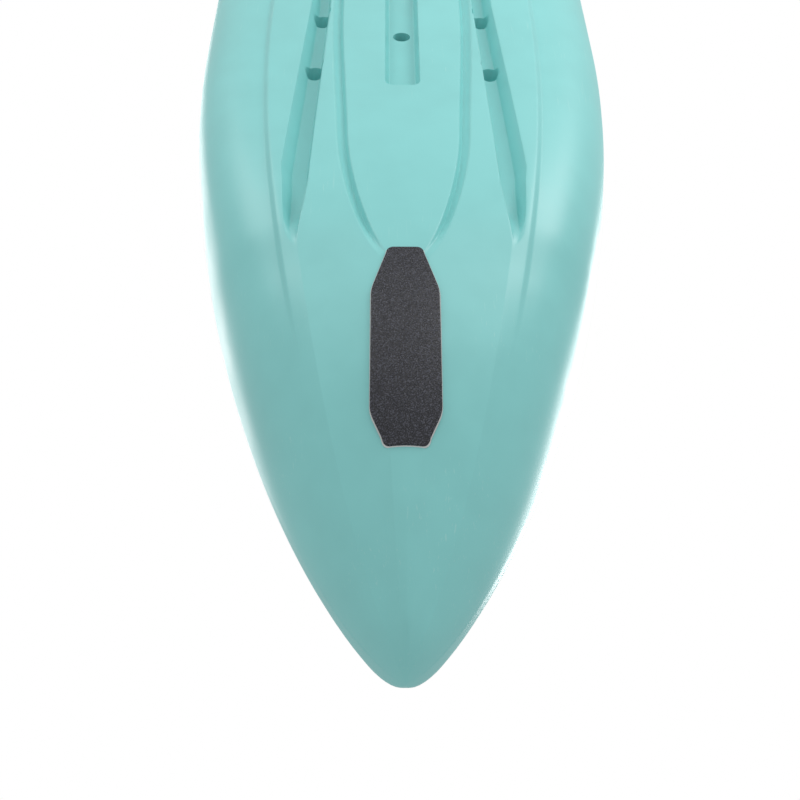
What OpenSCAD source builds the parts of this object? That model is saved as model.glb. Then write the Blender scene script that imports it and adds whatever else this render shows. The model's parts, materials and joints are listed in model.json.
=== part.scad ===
// Sit-on-top kayak: one-piece moulded hull, bow up +X, keel down, origin under the middle.
// Lengths are millimetres and angles are degrees.

/* [Hull] */
// Overall length, stem to stern
hull_len = 3660; // [3050:10:4300]
// Widest beam
beam = 840; // [780:2:1010]
// Height of the widest line amidships
gunwale_z = 215; // [180:5:260]
// Height of the deck above the widest line amidships
deck_rise = 95; // [70:5:130]
// Moulded wall
wall = 4.5; // [4:0.1:6]
// Height of the keel line at the bow tip
bow_keel_z = 300; // [220:10:340]
// Height of the keel line at the stern tip
stern_keel_z = 240; // [180:10:300]
// Length over which the bow widens to the full beam
bow_entry = 1410; // [1200:10:1500]
// Length over which the stern narrows
stern_run = 1350; // [1100:10:1500]

/* [Bottom shape] */
// Half width of the flat centre pad
pad_half = 122; // [90:2:122]
// Depth of the soft grooves beside the pad
groove_depth = 12; // [6:1:18]
// Distance of the side channels from the centreline amidships
channel_y = 150; // [150:2:166]
// Depth of the side channels
channel_depth = 30; // [15:1:40]
// Step of the strake along the bilge
strake_step = 8; // [3:1:14]
// Half width of the centre slot at its rim
slot_half = 33; // [25:1:45]
// Depth of the centre slot
slot_depth = 26; // [12:1:34]

/* [Scuppers] */
// Radius of a scupper bore
scupper_r = 17.5; // [12:0.5:22]

/* [Wells] */
// Width of the side deck beside the cockpit
side_deck = 130; // [120:5:150]
// Height of the seat platform
platform_z = 150; // [130:5:180]
// Height of the footwell floor
footwell_z = 85; // [70:5:110]
// Height of the tank well floor
tank_z = 150; // [120:5:180]

/* [Keel guard] */
// Distance of the guard's front end from the bow tip
guard_front = 270; // [200:5:320]
// Length of the guard along the keel line
guard_len = 357; // [250:1:500]
// Half width of the guard
guard_half = 56; // [40:2:80]
// Thickness of the guard plate
guard_t = 3.2; // [2:0.2:6]
// Thickness of the adhesive under it
adhesive_t = 0.9; // [0.4:0.1:2]

/* [Hatches] */
// Depth of the bow hatch recess below the deck amidships
hatch_sink = 10; // [0:1:20]
// Radius of the round hatch's opening
day_r = 68; // [55:1:75]

/* [Seat] */
// Radius of the seat frame tube
tube_r = 11; // [8:0.1:13.5]
// Distance of the seat frame's side tubes from the side of the cockpit
seat_margin = 75; // [65:5:100]
// Height of the seat frame's centreline above the platform
seat_lift = 56; // [50:2:90]
// Length of the seat back from its hinge
back_len = 380; // [300:10:450]
// Lean of the seat back from upright
back_lean = 12; // [5:1:20]

/* [Fittings] */
// Radius of a rod holder's bore
rod_r = 21; // [18:0.5:24]
// Rod holder's lean to the stern
rod_lean = 20; // [10:1:25]
// Radius of a carry handle's grip
grip_r = 11; // [8:0.5:14]
// Radius of the handle and hinge pins
pin_r = 4; // [3:0.1:5]
// Radial clearance of a pin in its eye
run_gap = 0.08; // [0.04:0.01:0.1]
// Gap between pieces that move past each other
gap = 0.5; // [0.3:0.1:1]
// Radius of the bungee cord
bungee_r = 3; // [2:0.5:4]

/* [Hidden] */
$fn = 48;

half_len = hull_len / 2;
half_b = beam / 2;
cockpit_half = half_b - side_deck;
deck_z = gunwale_z + deck_rise;  // height of the deck's centre amidships
high = 900;                      // cutters reach this high
teal = "mediumaquamarine";
black = [0.12, 0.12, 0.13];

// ---- hull lines -------------------------------------------------------------------------

function smooth(t) = let (c = max(0, min(1, t))) c * c * (3 - 2 * c);
function pick(x, bow, stern) = x >= 0 ? bow : stern;
function from_end(x) = half_len - abs(x);
function fade(x, reach) = 1 - min(1, from_end(x) / reach);      // 1 at the tip, 0 past reach

sheer_reach = 1500;
bow_sheer_rise = 150;
stern_sheer_rise = 115;
deck_drop = 50;
rocker_bow = 1100;
rocker_stern = 900;
nose_len = 50;
bow_fine = 0.725;                // the higher, the slimmer the end
stern_fine = 0.667;

function half_beam(x) = let (t = fade(x, pick(x, bow_entry, stern_run)))
    half_b * pow(1 - t * t, pick(x, bow_fine, stern_fine));
function nose(x) = let (t = fade(x, nose_len)) sqrt(max(0, 1 - t * t));
function sheer_z(x) = let (t = fade(x, sheer_reach))
    gunwale_z + pick(x, bow_sheer_rise, stern_sheer_rise) * t * t;
function keel_z(x) = let (t = fade(x, pick(x, rocker_bow, rocker_stern)),
                          z = pick(x, bow_keel_z, stern_keel_z) * t * t * t)
    sheer_z(x) - (sheer_z(x) - z) * nose(x);
function top_z(x) = let (t = fade(x, sheer_reach))
    sheer_z(x) + (deck_rise - deck_drop * t * t) * nose(x);
function fullness(x) = 1.5 + 2.3 * smooth(from_end(x) / rocker_bow);
deck_fullness = 5;

// widths of the features, as distances from the centreline
pad_end = 595;                   // distance from the tip where the pad's rounded end lies
pad_round = 355;                 // length of that rounded end
pad_widen = 500;                 // run over which the pad grows to its full width
pad_rise = 120;                  // length over which the pad comes out of the bottom
pad_share = 0.92;                // width of the pad behind its end, as a share of the width amidships
pad_least = 0.25;
channel_start = 650;
channel_full = 200;              // length over which a channel opens
channel_w = 51;
channel_w_mid = 39;
channel_taper = 580;             // length over which it narrows again
channel_mid = 1448;              // distance from the tip past which it runs straight
channel_near = 805;
channel_spread = 20;             // how far it moves out between those two
channel_turn = 14;               // how far its inner edge moves out towards its pointed end
channel_turn_len = 135;          // run over which the channels turn out
function clip(t) = max(0, min(1, t));
function pad_fade(x) = smooth((from_end(x) - pad_end) / pad_rise);
function pad_w(x) = let (s = half_beam(x) / half_b, d = from_end(x),
    u = clip((pad_end + pad_round - d) / pad_round))
    s * pad_half * max(pad_least, (pad_share
        + (1 - pad_share) * smooth((d - pad_end - pad_round) / pad_widen)) * sqrt(1 - u * u));
function channel_in(x) = let (d = from_end(x)) min(0.56 * half_beam(x), channel_y
    + channel_spread * clip((channel_mid - d) / (channel_mid - channel_near))
        + channel_turn * clip((channel_near - d) / channel_turn_len));
function channel_open(x) = let (d = from_end(x) - channel_start)
    d <= 0 ? 0 : sqrt(min(1, d / channel_full))
        * (channel_w - (channel_w - channel_w_mid) * clip((d - channel_full) / channel_taper));
function channel_fade(x) = smooth((from_end(x) - channel_start) / 110);
function strake_fade(x) = smooth((from_end(x) - 420) / 260);
strake_at = 0.65;                // share of the half beam

// height of the plain bottom at distance y from the centreline; the pad is flat
function bottom_z(x, y) = let (b = half_beam(x), p = pad_w(x) * pad_fade(x), m = fullness(x),
                               t = max(0, min(1, (y - p) / (b - p))))
    keel_z(x) + (sheer_z(x) - keel_z(x)) * (1 - pow(1 - pow(t, m), 1 / m));
function edge_y(x, a) = let (b = half_beam(x), p = pad_w(x) * pad_fade(x), m = fullness(x))
    p + (b - p) * pow(sin(a), 2 / m);

// bottom knots from the keel outwards: [distance, lift]; w grows the features for the inside
function knots(x, w) = let (s = half_beam(x) / half_b, p = pad_w(x), g = groove_depth * pad_fade(x),
                            ci = channel_in(x), cw = max(channel_open(x), 6 * s),
                            c = channel_depth * channel_fade(x), k = strake_step * strake_fade(x),
                            st = strake_at * half_beam(x), e = w * s)
    [[0, 0], [0.5 * p, 0], [p - e / 2, 0], [p - e / 2 + 4 * s, g], [p + 13 * s, 0.75 * g],
     [p + 22 * s, 0], [ci - e, 0], [ci - e + 0.06 * cw, c], [ci + e + 0.63 * cw, c],
     [ci + e + cw, 0], [st - 4 * s - e / 3, 0], [st + 4 * s - e / 3, k]];

bilge_n = 6;
deck_n = 5;
// half of one section, keel to deck centre, as [y, z]; w is the inset of the inside skin
function half_section(x, w) =
    let (b = half_beam(x), k = (b - w) / b, m = fullness(x), ks = knots(x, w),
         p = pad_w(x) * pad_fade(x), st = ks[len(ks) - 1], a0 = asin(pow(max(0, st[0] - p) / (b - p),
             m / 2)),
         zs = sheer_z(x), rise = top_z(x) - zs)
    concat(
        [for (q = ks) [q[0] * k, bottom_z(x, q[0]) + q[1] + w]],
        [for (i = [1:bilge_n]) let (a = a0 + (90 - a0) * i / bilge_n, y = edge_y(x, a), f = 1 - i / bilge_n)
            [y * k, bottom_z(x, min(y, b)) + st[1] * f + w * f]],
        [for (i = [1:deck_n]) let (a = 90 * i / deck_n)
            [b * k * pow(cos(a), 2 / deck_fullness), zs + (rise - w) * pow(sin(a), 2 / deck_fullness)]]);

function full_section(x, w) = let (h = half_section(x, w), n = len(h))
    concat([for (q = h) [x, q[0], q[1]]], [for (i = [n - 2:-1:1]) [x, -h[i][0], h[i][1]]]);

// stations, closer together towards the tips
outer_stations = 18;
inner_stations = 9;
function reach_at(i, first, n) = first + (half_len - first) * pow(i / n, 1.6);
function stations(first, n) = concat([for (i = [0:n]) half_len - reach_at(i, first, n)],
                                     [for (i = [n - 1:-1:0]) reach_at(i, first, n) - half_len]);

module loft(w, first, count) {
    xs = stations(first, count);
    rings = [for (x = xs) full_section(x, w)];
    m = len(rings[0]);
    n = len(xs);
    tips = [[half_len - w, 0, sheer_z(half_len)], [w - half_len, 0, sheer_z(-half_len)]];
    pts = concat([for (r = rings) each r], tips);
    skin = [for (i = [0:n - 2], j = [0:m - 1]) each let (a = i * m + j, b = i * m + (j + 1) % m)
        [[a, b, a + m], [b, b + m, a + m]]];
    ends = [for (j = [0:m - 1]) each [[n * m, (j + 1) % m, j], [n * m + 1, (n - 1) * m + j,
        (n - 1) * m + (j + 1) % m]]];
    polyhedron(points = pts, faces = concat(skin, ends), convexity = 10);
}

// ---- openings in the deck and the bottom --------------------------------------------------

stretch = hull_len / 3660;       // the long stations keep their share of the length
cockpit_aft = -430 * stretch;
cockpit_fore = 740 * stretch;
seat_aft = cockpit_aft + 100;
seat_fore = seat_aft + 390;
footwell_aft = seat_fore;
hump_half = 62;
tank_aft = 380 - half_len;
tank_fore = cockpit_aft - 230;
tank_slim = 150;                 // half widths of the tank well at its two ends
tank_wide = 265;
corner = 60;

module slab(z0, g) { translate([0, 0, z0 - g]) linear_extrude(high) offset(delta = g) children(); }
module rounded(x0, x1, y0, y1, r) {
    offset(r = r, $fn = 16) offset(delta = -r) translate([x0, y0]) square([x1 - x0, y1 - y0]);
}
module both_sides() { children(); mirror([0, 1, 0]) children(); }

hatch_aft = 900 * stretch;
hatch_fore = 1270 * stretch;
hatch_wide = 130;
hatch_slim = 80;
hatch_corner = 40;
recess_margin = 62;
hatch_z = deck_z - hatch_sink;
function hatch_half(x) = hatch_wide
    + (hatch_slim - hatch_wide) * (x - hatch_aft) / (hatch_fore - hatch_aft);
function tank_half(x) = tank_slim + (tank_wide - tank_slim) * (x - tank_aft) / (tank_fore - tank_aft);
module hatch_outline(d) {
    offset(r = hatch_corner + d, $fn = 24) offset(delta = -hatch_corner)
        polygon([[hatch_aft, -hatch_wide], [hatch_fore, -hatch_slim], [hatch_fore, hatch_slim],
            [hatch_aft, hatch_wide]]);
}
module tank_outline() {
    offset(r = corner, $fn = 16) offset(delta = -corner)
        polygon([[tank_aft, -tank_slim], [tank_fore, -tank_wide], [tank_fore, tank_wide], [tank_aft,
            tank_slim]]);
}

// flat seats that the deck fittings stand on: [x, y, half x, half y, z]
day_x = cockpit_aft - 115;
day_flat_z = deck_z - 4;
rod_x = cockpit_aft - 130;
rod_y = cockpit_half + 2;
track_aft = seat_fore + 50;
track_fore = track_aft + 390;
track_y = cockpit_half + 38;
track_half = 17;
flat_z = deck_z - 10;
side_handle_x = cockpit_aft + 190;
side_handle_y = cockpit_half + 28;
handle_reach = 46;
handle_half = 70;
bow_handle_x = half_len - 300;
stern_handle_x = 230 - half_len;
bow_flat_z = top_z(bow_handle_x - handle_reach) - 6;
stern_flat_z = top_z(stern_handle_x + handle_reach) - 6;
drain_x = 340 - half_len;
drain_r = 13;
drain_z = top_z(drain_x + 30) - 4;

module deck_cuts(g) {
    slab(platform_z, g) rounded(cockpit_aft, cockpit_fore, -cockpit_half, cockpit_half, 90);
    both_sides() slab(footwell_z, g) rounded(footwell_aft, cockpit_fore - 20, hump_half,
        cockpit_half - 6, 50);
    slab(tank_z, g) tank_outline();
    slab(hatch_z, g) hatch_outline(recess_margin);
    slab(bow_flat_z, g) rounded(bow_handle_x - handle_reach - 28, bow_handle_x + 26,
        -handle_half - 24, handle_half + 24, 12);
    slab(stern_flat_z, g) rounded(stern_handle_x - 26, stern_handle_x + handle_reach + 16,
        -handle_half - 24, handle_half + 24, 12);
    slab(drain_z, g) translate([drain_x, 0]) circle(r = drain_r + 13);
    slab(day_flat_z, g) translate([day_x, 0]) circle(r = day_r + 30);
    both_sides() {
        slab(flat_z, g) rounded(track_aft - 4, track_fore + 4, track_y - track_half - 2,
            track_y + track_half + 2, 5);
        slab(flat_z, g) translate([rod_x, rod_y]) circle(r = rod_r + 22);
        slab(flat_z, g) rounded(side_handle_x - handle_half - 24, side_handle_x + handle_half + 24,
                                side_handle_y - 16, side_handle_y + 38, 8);
    }
}

slot_fore = half_len - 1112;
slot_aft = cockpit_aft + 30;
module slot_cut(g) {
    translate([0, 0, -high]) linear_extrude(high + slot_depth + g)
        offset(delta = g) rounded(slot_aft, slot_fore, -slot_half, slot_half, 16);
}

// scuppers open in the floor of the side channels: [x, y, height of the floor above]
function scupper_at(x, z) = [x, channel_in(x) + 0.36 * channel_open(x), z];
scuppers = [scupper_at(half_len - 1200, footwell_z), scupper_at(half_len - 1411, footwell_z),
            scupper_at(cockpit_aft + 180, platform_z), scupper_at(tank_fore - 240, tank_z)];
centre_scupper_x = half_len - 1344;

module at_scuppers() {
    both_sides() for (s = scuppers) translate([s[0], s[1], 0]) children();
    translate([centre_scupper_x, 0, 0]) children();
}

module rod_axis() { translate([rod_x, rod_y, flat_z]) rotate([0, 180 - rod_lean, 0]) children(); }
rod_tube_r = rod_r + 3;
rod_len = 190;

// ---- hull -------------------------------------------------------------------------------

module moulding() {
    $fn = 16;
    difference() {
        loft(0, 3, outer_stations);
        deck_cuts(0);
        slot_cut(0);
        difference() {
            loft(wall, 10, inner_stations);
            deck_cuts(wall);
            slot_cut(wall);
            at_scuppers() translate([0, 0, -5]) cylinder(r = scupper_r + wall, h = platform_z, $fn = 10);
            translate([drain_x, 0, drain_z - 40]) cylinder(r = drain_r + 8, h = 80);
        }
        translate([0, 0, hatch_z - 40]) linear_extrude(high) hatch_outline(3);
        translate([day_x, 0, deck_z - 40]) cylinder(r = day_r + 3, h = 90, $fn = 24);
        both_sides() rod_axis() translate([0, 0, -60]) cylinder(r = rod_tube_r + gap, h = 120);
    }
}

module hull() {
    color(teal) difference() {
        moulding();
        both_sides() for (s = scuppers) translate([s[0], s[1], -1]) cylinder(r = scupper_r, h = s[2] + 10);
        translate([centre_scupper_x, 0, -1]) cylinder(r = scupper_r, h = platform_z + 10);
        translate([drain_x, 0, drain_z - 60]) cylinder(r = drain_r, h = 100);
    }
}

// ---- keel guard ---------------------------------------------------------------------------

guard_rows = 14;
guard_cols = 8;
guard_shoulder = [0.13, 0.24];   // shares of the length over which the two ends narrow
guard_tip = [0.63, 0.54];        // width of the two ends, as shares of the full width
function guard_w(t) = guard_half * (
    t < guard_shoulder[0] ? guard_tip[0] + (1 - guard_tip[0]) * t / guard_shoulder[0] :
    t > 1 - guard_shoulder[1] ? guard_tip[1] + (1 - guard_tip[1]) * (1 - t) / guard_shoulder[1] : 1);
function guard_point(x, y, d) = let (a = abs(y), lo = max(0, a - 1),
        g = a < 1 ? 0 : (bottom_z(x, a + 1) - bottom_z(x, lo)) / (a + 1 - lo), n = sqrt(1 + g * g))
    [x, y + sign(y) * d * g / n, bottom_z(x, a) - d / n];
// a sheet that follows the keel, between the distances near and far outside the hull
module keel_sheet(near, far, margin) {
    x0 = half_len - guard_front;
    m = guard_cols + 1;
    layer = function (d) [for (i = [0:guard_rows], j = [0:guard_cols]) let (t = i / guard_rows)
        guard_point(x0 + margin - t * (guard_len + 2 * margin),
                    (guard_w(t) + margin) * (2 * j / guard_cols - 1), d)];
    n = (guard_rows + 1) * m;
    grid = [for (i = [0:guard_rows - 1], j = [0:guard_cols - 1]) each let (a = i * m + j)
        [[a, a + 1, a + m], [a + 1, a + m + 1, a + m]]];
    rim = concat([for (j = [0:guard_cols]) j], [for (i = [1:guard_rows]) i * m + guard_cols],
                 [for (j = [guard_cols - 1:-1:0]) guard_rows * m + j],
                     [for (i = [guard_rows - 1:-1:1]) i * m]);
    r = len(rim);
    polyhedron(points = concat(layer(near), layer(far)), convexity = 6, faces = concat(
        [for (f = grid) [f[2], f[1], f[0]]], [for (f = grid) [for (v = f) v + n]],
        [for (k = [0:r - 1]) each let (a = rim[k], b = rim[(k + 1) % r]) [[a, b, b + n], [a, b + n,
            a + n]]]));
}
glue_bite = 1;                   // how far the adhesive keys into the moulding's skin
module guard_adhesive() { color([0.85, 0.88, 0.86]) keel_sheet(-glue_bite, adhesive_t, 0); }
module keel_guard() { color(black) keel_sheet(adhesive_t, adhesive_t + guard_t, 0); }

// ---- bow hatch ----------------------------------------------------------------------------

flange_t = 5;
coaming_h = 22;
seal_t = 4;
lid_t = 5;
flange_margin = 35;
skirt_out = 14;
skirt_t = 3.5;
hinge_x = hatch_fore + skirt_out + 16;
hinge_z = hatch_z + 18;
hinge_eye = 7;
ear_y = 40;
ear_w = 12;
lid_z = hatch_z + coaming_h + seal_t + 0.3;
latch_y = 70;
latch_w = 39;
latch_x = hatch_aft - skirt_out - 8;
latch_z = lid_z - 3;
latch_pin_r = 2.5;
screw_r = 2.1;
screw_head_r = 4.5;
screw_head_h = 2.5;

module along_y(r, y0, y1) { translate([0, y1, 0]) rotate([90, 0, 0]) cylinder(r = r, h = y1 - y0); }
// screws of the hatch rim: on its two long sides and its two ends
screw_out = 27;                  // distance of those screws outside the opening
rim_screws = [for (s = [-1, 1], x = [hatch_aft + 30, (hatch_aft + hatch_fore) / 2, hatch_fore - 35])
                  [x, s * (hatch_half(x) + screw_out)],
              [hatch_aft - 21, 0], [hatch_fore + 21, 0]];

module hatch_rim() {
    color(black) difference() {
        union() {
            // resize to nothing changes no size; it joins the flange and the coaming into one mesh
            resize([0, 0, 0]) translate([0, 0, hatch_z]) {
                linear_extrude(flange_t) difference() { hatch_outline(flange_margin); hatch_outline(0); }
                linear_extrude(coaming_h) difference() { hatch_outline(6); hatch_outline(0); }
            }
            both_sides() translate([hinge_x, 0, 0]) {
                translate([-hinge_eye, ear_y, hatch_z + 1]) cube([2 * hinge_eye - 2, ear_w,
                    hinge_z - hatch_z - 1]);
                translate([0, 0, hinge_z]) along_y(hinge_eye, ear_y, ear_y + ear_w);
            }
        }
        translate([hinge_x, 0, hinge_z]) along_y(pin_r + run_gap, -80, 80);
        for (q = rim_screws) translate([q[0], q[1], hatch_z - 1]) cylinder(r = screw_r + 0.2, h = 8);
    }
}
module hatch_gasket() {
    color("dimgray") translate([0, 0, hatch_z + coaming_h]) linear_extrude(seal_t - 0.1)
        difference() { hatch_outline(7.5); hatch_outline(-1); }
}
module hatch_lid() {
    color(black) difference() {
        union() {
            resize([0, 0, 0]) union() {
                translate([0, 0, lid_z]) linear_extrude(lid_t) hatch_outline(skirt_out);
                translate([0, 0, lid_z + lid_t - 1]) linear_extrude(4) hatch_outline(-18);
                translate([0, 0, hatch_z + 9]) linear_extrude(lid_z - hatch_z - 8)
                    difference() { hatch_outline(skirt_out); hatch_outline(skirt_out - skirt_t); }
            }
            both_sides() {
                translate([hinge_x, 0, hinge_z]) along_y(hinge_eye, ear_y - 13.5, ear_y - gap);
                translate([hatch_fore + skirt_out - 2, ear_y - 13.5, hinge_z - hinge_eye])
                    cube([18, 13.5 - gap, hinge_eye + lid_z - hinge_z + 1]);
                for (s = [-1, 1]) translate([latch_x - 6, latch_y + s * (latch_w / 2 + 3.5) - 3, lid_z - 9])
                    cube([8 + 8, 6, 9 + lid_t - 1]);
            }
        }
        translate([hinge_x, 0, hinge_z]) along_y(pin_r + run_gap, -80, 80);
        translate([latch_x, 0, latch_z]) along_y(latch_pin_r + run_gap, -140, 140);
    }
}
module hatch_hinge_pin() {
    color("silver") translate([hinge_x, 0, hinge_z]) along_y(pin_r, -ear_y - ear_w - 2, ear_y + ear_w + 2);
}
module latch() {
    color([0.2, 0.2, 0.21]) translate([latch_x, latch_y, latch_z]) difference() {
        union() {
            along_y(5.5, -latch_w / 2, latch_w / 2);
            translate([-24, -latch_w / 2, -4]) cube([24, latch_w, 8]);
            translate([-28, -latch_w / 2, -1]) cube([8, latch_w, 5]);
        }
        along_y(latch_pin_r + run_gap, -latch_w, latch_w);
    }
}
module hatch_latch_left() { latch(); }
module hatch_latch_right() { mirror([0, 1, 0]) latch(); }
module latch_pins() {
    color("silver") both_sides() translate([latch_x, latch_y, latch_z])
        along_y(latch_pin_r, -latch_w / 2 - 7, latch_w / 2 + 7);
}

// ---- round hatch --------------------------------------------------------------------------

day_flange = 26;
day_neck = day_r - 5;
day_seal_r = 1.6;
day_top = day_flat_z + 6;
day_screws = [for (a = [30:60:330]) [day_x + (day_r + 18) * cos(a), (day_r + 18) * sin(a)]];
module at_day() { translate([day_x, 0, 0]) children(); }
module day_hatch_ring() {
    color(black) difference() {
        at_day() rotate_extrude() polygon([[day_neck, day_flat_z - 20], [day_r + 1, day_flat_z - 20],
            [day_r + 1, day_flat_z],
            [day_r + day_flange, day_flat_z], [day_r + day_flange, day_top - 2],
                [day_r + day_flange - 2, day_top], [day_neck, day_top]]);
        for (q = day_screws) translate([q[0], q[1], day_flat_z - 1]) cylinder(r = screw_r + 0.2, h = 9);
    }
}
module day_hatch_seal() {
    color("dimgray") at_day() translate([0, 0, day_top + day_seal_r]) rotate_extrude()
        translate([day_r + 1, 0]) circle(r = day_seal_r);
}
module day_hatch_lid() {
    z = day_top + 2 * day_seal_r + 0.3;
    color(black) at_day() difference() {
        union() {
            translate([0, 0, z]) cylinder(r = day_r + 6, h = 4);
            translate([0, 0, z - 18]) cylinder(r = day_neck - gap, h = 19);
            translate([0, 0, z + 3]) cylinder(r = day_r - 2, h = 3);
        }
        translate([0, 0, z - 19]) cylinder(r = day_neck - gap - 3, h = 16);
        for (s = [-1, 1]) translate([0, s * 26, z - 1]) intersection() {
            cylinder(r = 34, h = 20);
            translate([-40, -17, 0]) cube([80, 34, 20]);
        }
    }
}

// ---- seat ---------------------------------------------------------------------------------

seat_half = cockpit_half - seat_margin;
seat_z = platform_z + seat_lift;
rail_h = 8;
rail_w = 30;
rail_fore = seat_fore + 50;
rail_aft = cockpit_aft + 30;
foot_len = 44;
foot_half = 16;
foot_x = [seat_aft + 50, seat_fore - 50];
ear_t = 6;
back_y = seat_half - 18;
back_tube = 9;
back_eye = 13;
back_bar = back_tube + 1.5;      // radius of the top bar
back_rung = 46;
back_hinge_z = seat_z + 42;
seat_pin_r = 5;
pad_t = 24;
pad_drop = 4;                    // how far a pad reaches below its frame's centreline
pad_gap = 1;

module seat_rails() {
    color("silver") both_sides() translate([rail_aft, seat_half - rail_w / 2, platform_z]) difference() {
        cube([rail_fore - rail_aft, rail_w, rail_h]);
        for (x = [20, (rail_fore - rail_aft) / 2, rail_fore - rail_aft - 20]) translate([x, rail_w / 2, -1])
            cylinder(r = screw_r + 0.2, h = rail_h + 2);
    }
}
module tube_x(x0, x1) { translate([x0, 0, 0]) rotate([0, 90, 0]) cylinder(r = tube_r, h = x1 - x0); }
module seat_base_frame() {
    color("silver") difference() {
        union() {
            translate([0, 0, seat_z]) {
                both_sides() translate([0, seat_half, 0]) tube_x(seat_aft, seat_fore);
                for (x = [seat_aft, seat_fore]) {
                    translate([x, 0, 0]) along_y(tube_r, -seat_half, seat_half);
                    both_sides() translate([x, seat_half, 0]) sphere(r = tube_r);
                }
            }
            both_sides() translate([seat_aft, back_y + 12, 0]) {
                translate([-back_eye, 0, seat_z]) cube([2 * back_eye, ear_t, back_hinge_z - seat_z]);
                translate([0, 0, back_hinge_z]) along_y(back_eye, 0, ear_t);
            }
        }
        translate([seat_aft, 0, back_hinge_z]) along_y(seat_pin_r + run_gap, -300, 300);
    }
}
module seat_feet() {
    color(black) difference() {
        both_sides() for (x = foot_x)
            translate([x - foot_len / 2, seat_half - foot_half, platform_z + rail_h + gap])
                cube([foot_len, 2 * foot_half, seat_lift - rail_h - gap + 2]);
        both_sides() translate([0, seat_half, seat_z]) tube_x(seat_aft - 50, seat_fore + 50);
    }
}
module seat_base_pad() {
    half = seat_half - foot_half - pad_gap;
    color([0.16, 0.17, 0.18]) translate([seat_aft + tube_r + pad_gap, -half, seat_z - pad_drop])
        cube([seat_fore - seat_aft - 2 * (tube_r + pad_gap), 2 * half, pad_t]);
}
module seat_hinge_pins() {
    color("silver") both_sides() translate([seat_aft, back_y, back_hinge_z]) {
        along_y(seat_pin_r, -back_tube - 4, 12 + ear_t + 2);
        along_y(seat_pin_r + 3, 12 + ear_t + gap, 12 + ear_t + 4);
    }
}
module at_back() { translate([seat_aft, 0, back_hinge_z]) rotate([0, -back_lean, 0]) children(); }
module seat_back_frame() {
    color("silver") at_back() difference() {
        union() {
            both_sides() translate([0, back_y, 0]) {
                cylinder(r = back_tube, h = back_len);
                along_y(back_eye, -back_tube - 1.5, back_tube + 1.5);
            }
            translate([0, 0, back_len]) along_y(back_bar, -back_y - back_tube - 2, back_y + back_tube + 2);
            translate([0, 0, back_rung]) along_y(back_tube - 1.5, -back_y, back_y);
        }
        along_y(seat_pin_r + run_gap, -300, 300);
    }
}
module seat_back_pad() {
    low = back_rung + back_tube + pad_gap;
    half = back_y - back_tube - pad_gap;
    color([0.16, 0.17, 0.18]) at_back() translate([-pad_drop, -half, low])
        cube([pad_t, 2 * half, back_len - back_bar - pad_gap - low]);
}

// ---- foot braces --------------------------------------------------------------------------

brace_fore = cockpit_fore - 110;
brace_aft = brace_fore - 360;
brace_z = 208;
brace_h = 30;
brace_t = 9;
pedal_x = brace_fore - 160;
module brace_rail() {
    color(black) difference() {
        translate([brace_aft, cockpit_half - brace_t,
            brace_z - brace_h / 2]) cube([brace_fore - brace_aft, brace_t, brace_h]);
        for (x = [brace_aft + 40 : 20 : brace_fore - 40]) translate([x, cockpit_half - brace_t - 1,
            brace_z - brace_h / 2 - 1])
            cube([8, 4, 7]);
    }
}
module pedal() {
    inner = cockpit_half - brace_t - gap;
    color(black) {
        translate([pedal_x - 28, inner - 10, brace_z - 19]) cube([56, 10, 38]);
        difference() {
            translate([pedal_x - 8, inner - 82, brace_z - 85]) cube([16, 73, 130]);
            for (z = [-70 : 20 : 30]) translate([pedal_x - 9, inner - 76, brace_z + z]) cube([5, 58, 8]);
        }
        translate([pedal_x, inner - 45, brace_z - 12]) cube([24, 40, 24]);
    }
}
module foot_rail_left() { brace_rail(); }
module foot_rail_right() { mirror([0, 1, 0]) brace_rail(); }
module pedal_left() { pedal(); }
module pedal_right() { mirror([0, 1, 0]) pedal(); }

// ---- rod holders and gear tracks ------------------------------------------------------------

rod_flange_t = 5;
module rod_holder() {
    color(black) difference() {
        union() {
            translate([rod_x, rod_y, flat_z]) cylinder(r = rod_r + 18, h = rod_flange_t);
            rod_axis() translate([0, 0, -6]) cylinder(r = rod_tube_r, h = rod_len + 6);
        }
        rod_axis() translate([0, 0, -60]) cylinder(r = rod_r, h = rod_len + 56);
        translate([rod_x, rod_y, flat_z + rod_flange_t]) cylinder(r = 80, h = 60);
        for (a = [45:90:315]) translate([rod_x + (rod_r + 12.5) * cos(a),
            rod_y + (rod_r + 12.5) * sin(a), flat_z - 1])
            cylinder(r = screw_r + 0.2, h = 8);
    }
}
module rod_holder_left() { rod_holder(); }
module rod_holder_right() { mirror([0, 1, 0]) rod_holder(); }

track_h = 12;
track_slot = 5;
track_screws = [track_aft + 25 : (track_fore - track_aft - 50) / 3 : track_fore - 24];
module gear_track() {
    h = track_half;
    color([0.2, 0.2, 0.22]) difference() {
        translate([track_aft, track_y, flat_z]) rotate([90, 0, 90]) linear_extrude(track_fore - track_aft)
            polygon([[-h, 0], [h, 0], [h, track_h - 3], [h - 3, track_h], [track_slot, track_h],
                [track_slot, track_h - 3],
                     [h - 5, track_h - 3], [h - 5, 3], [5 - h, 3], [5 - h, track_h - 3], [-track_slot,
                         track_h - 3],
                     [-track_slot, track_h], [3 - h, track_h], [-h, track_h - 3]]);
        for (x = track_screws) translate([x, track_y, flat_z - 1]) cylinder(r = screw_r + 0.2, h = 6);
    }
}
module gear_track_left() { gear_track(); }
module gear_track_right() { mirror([0, 1, 0]) gear_track(); }

// ---- carry handles ------------------------------------------------------------------------

eye_r = 9;
axis_h = 14;
eye_half = 7;
foot_w = 12;
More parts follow.
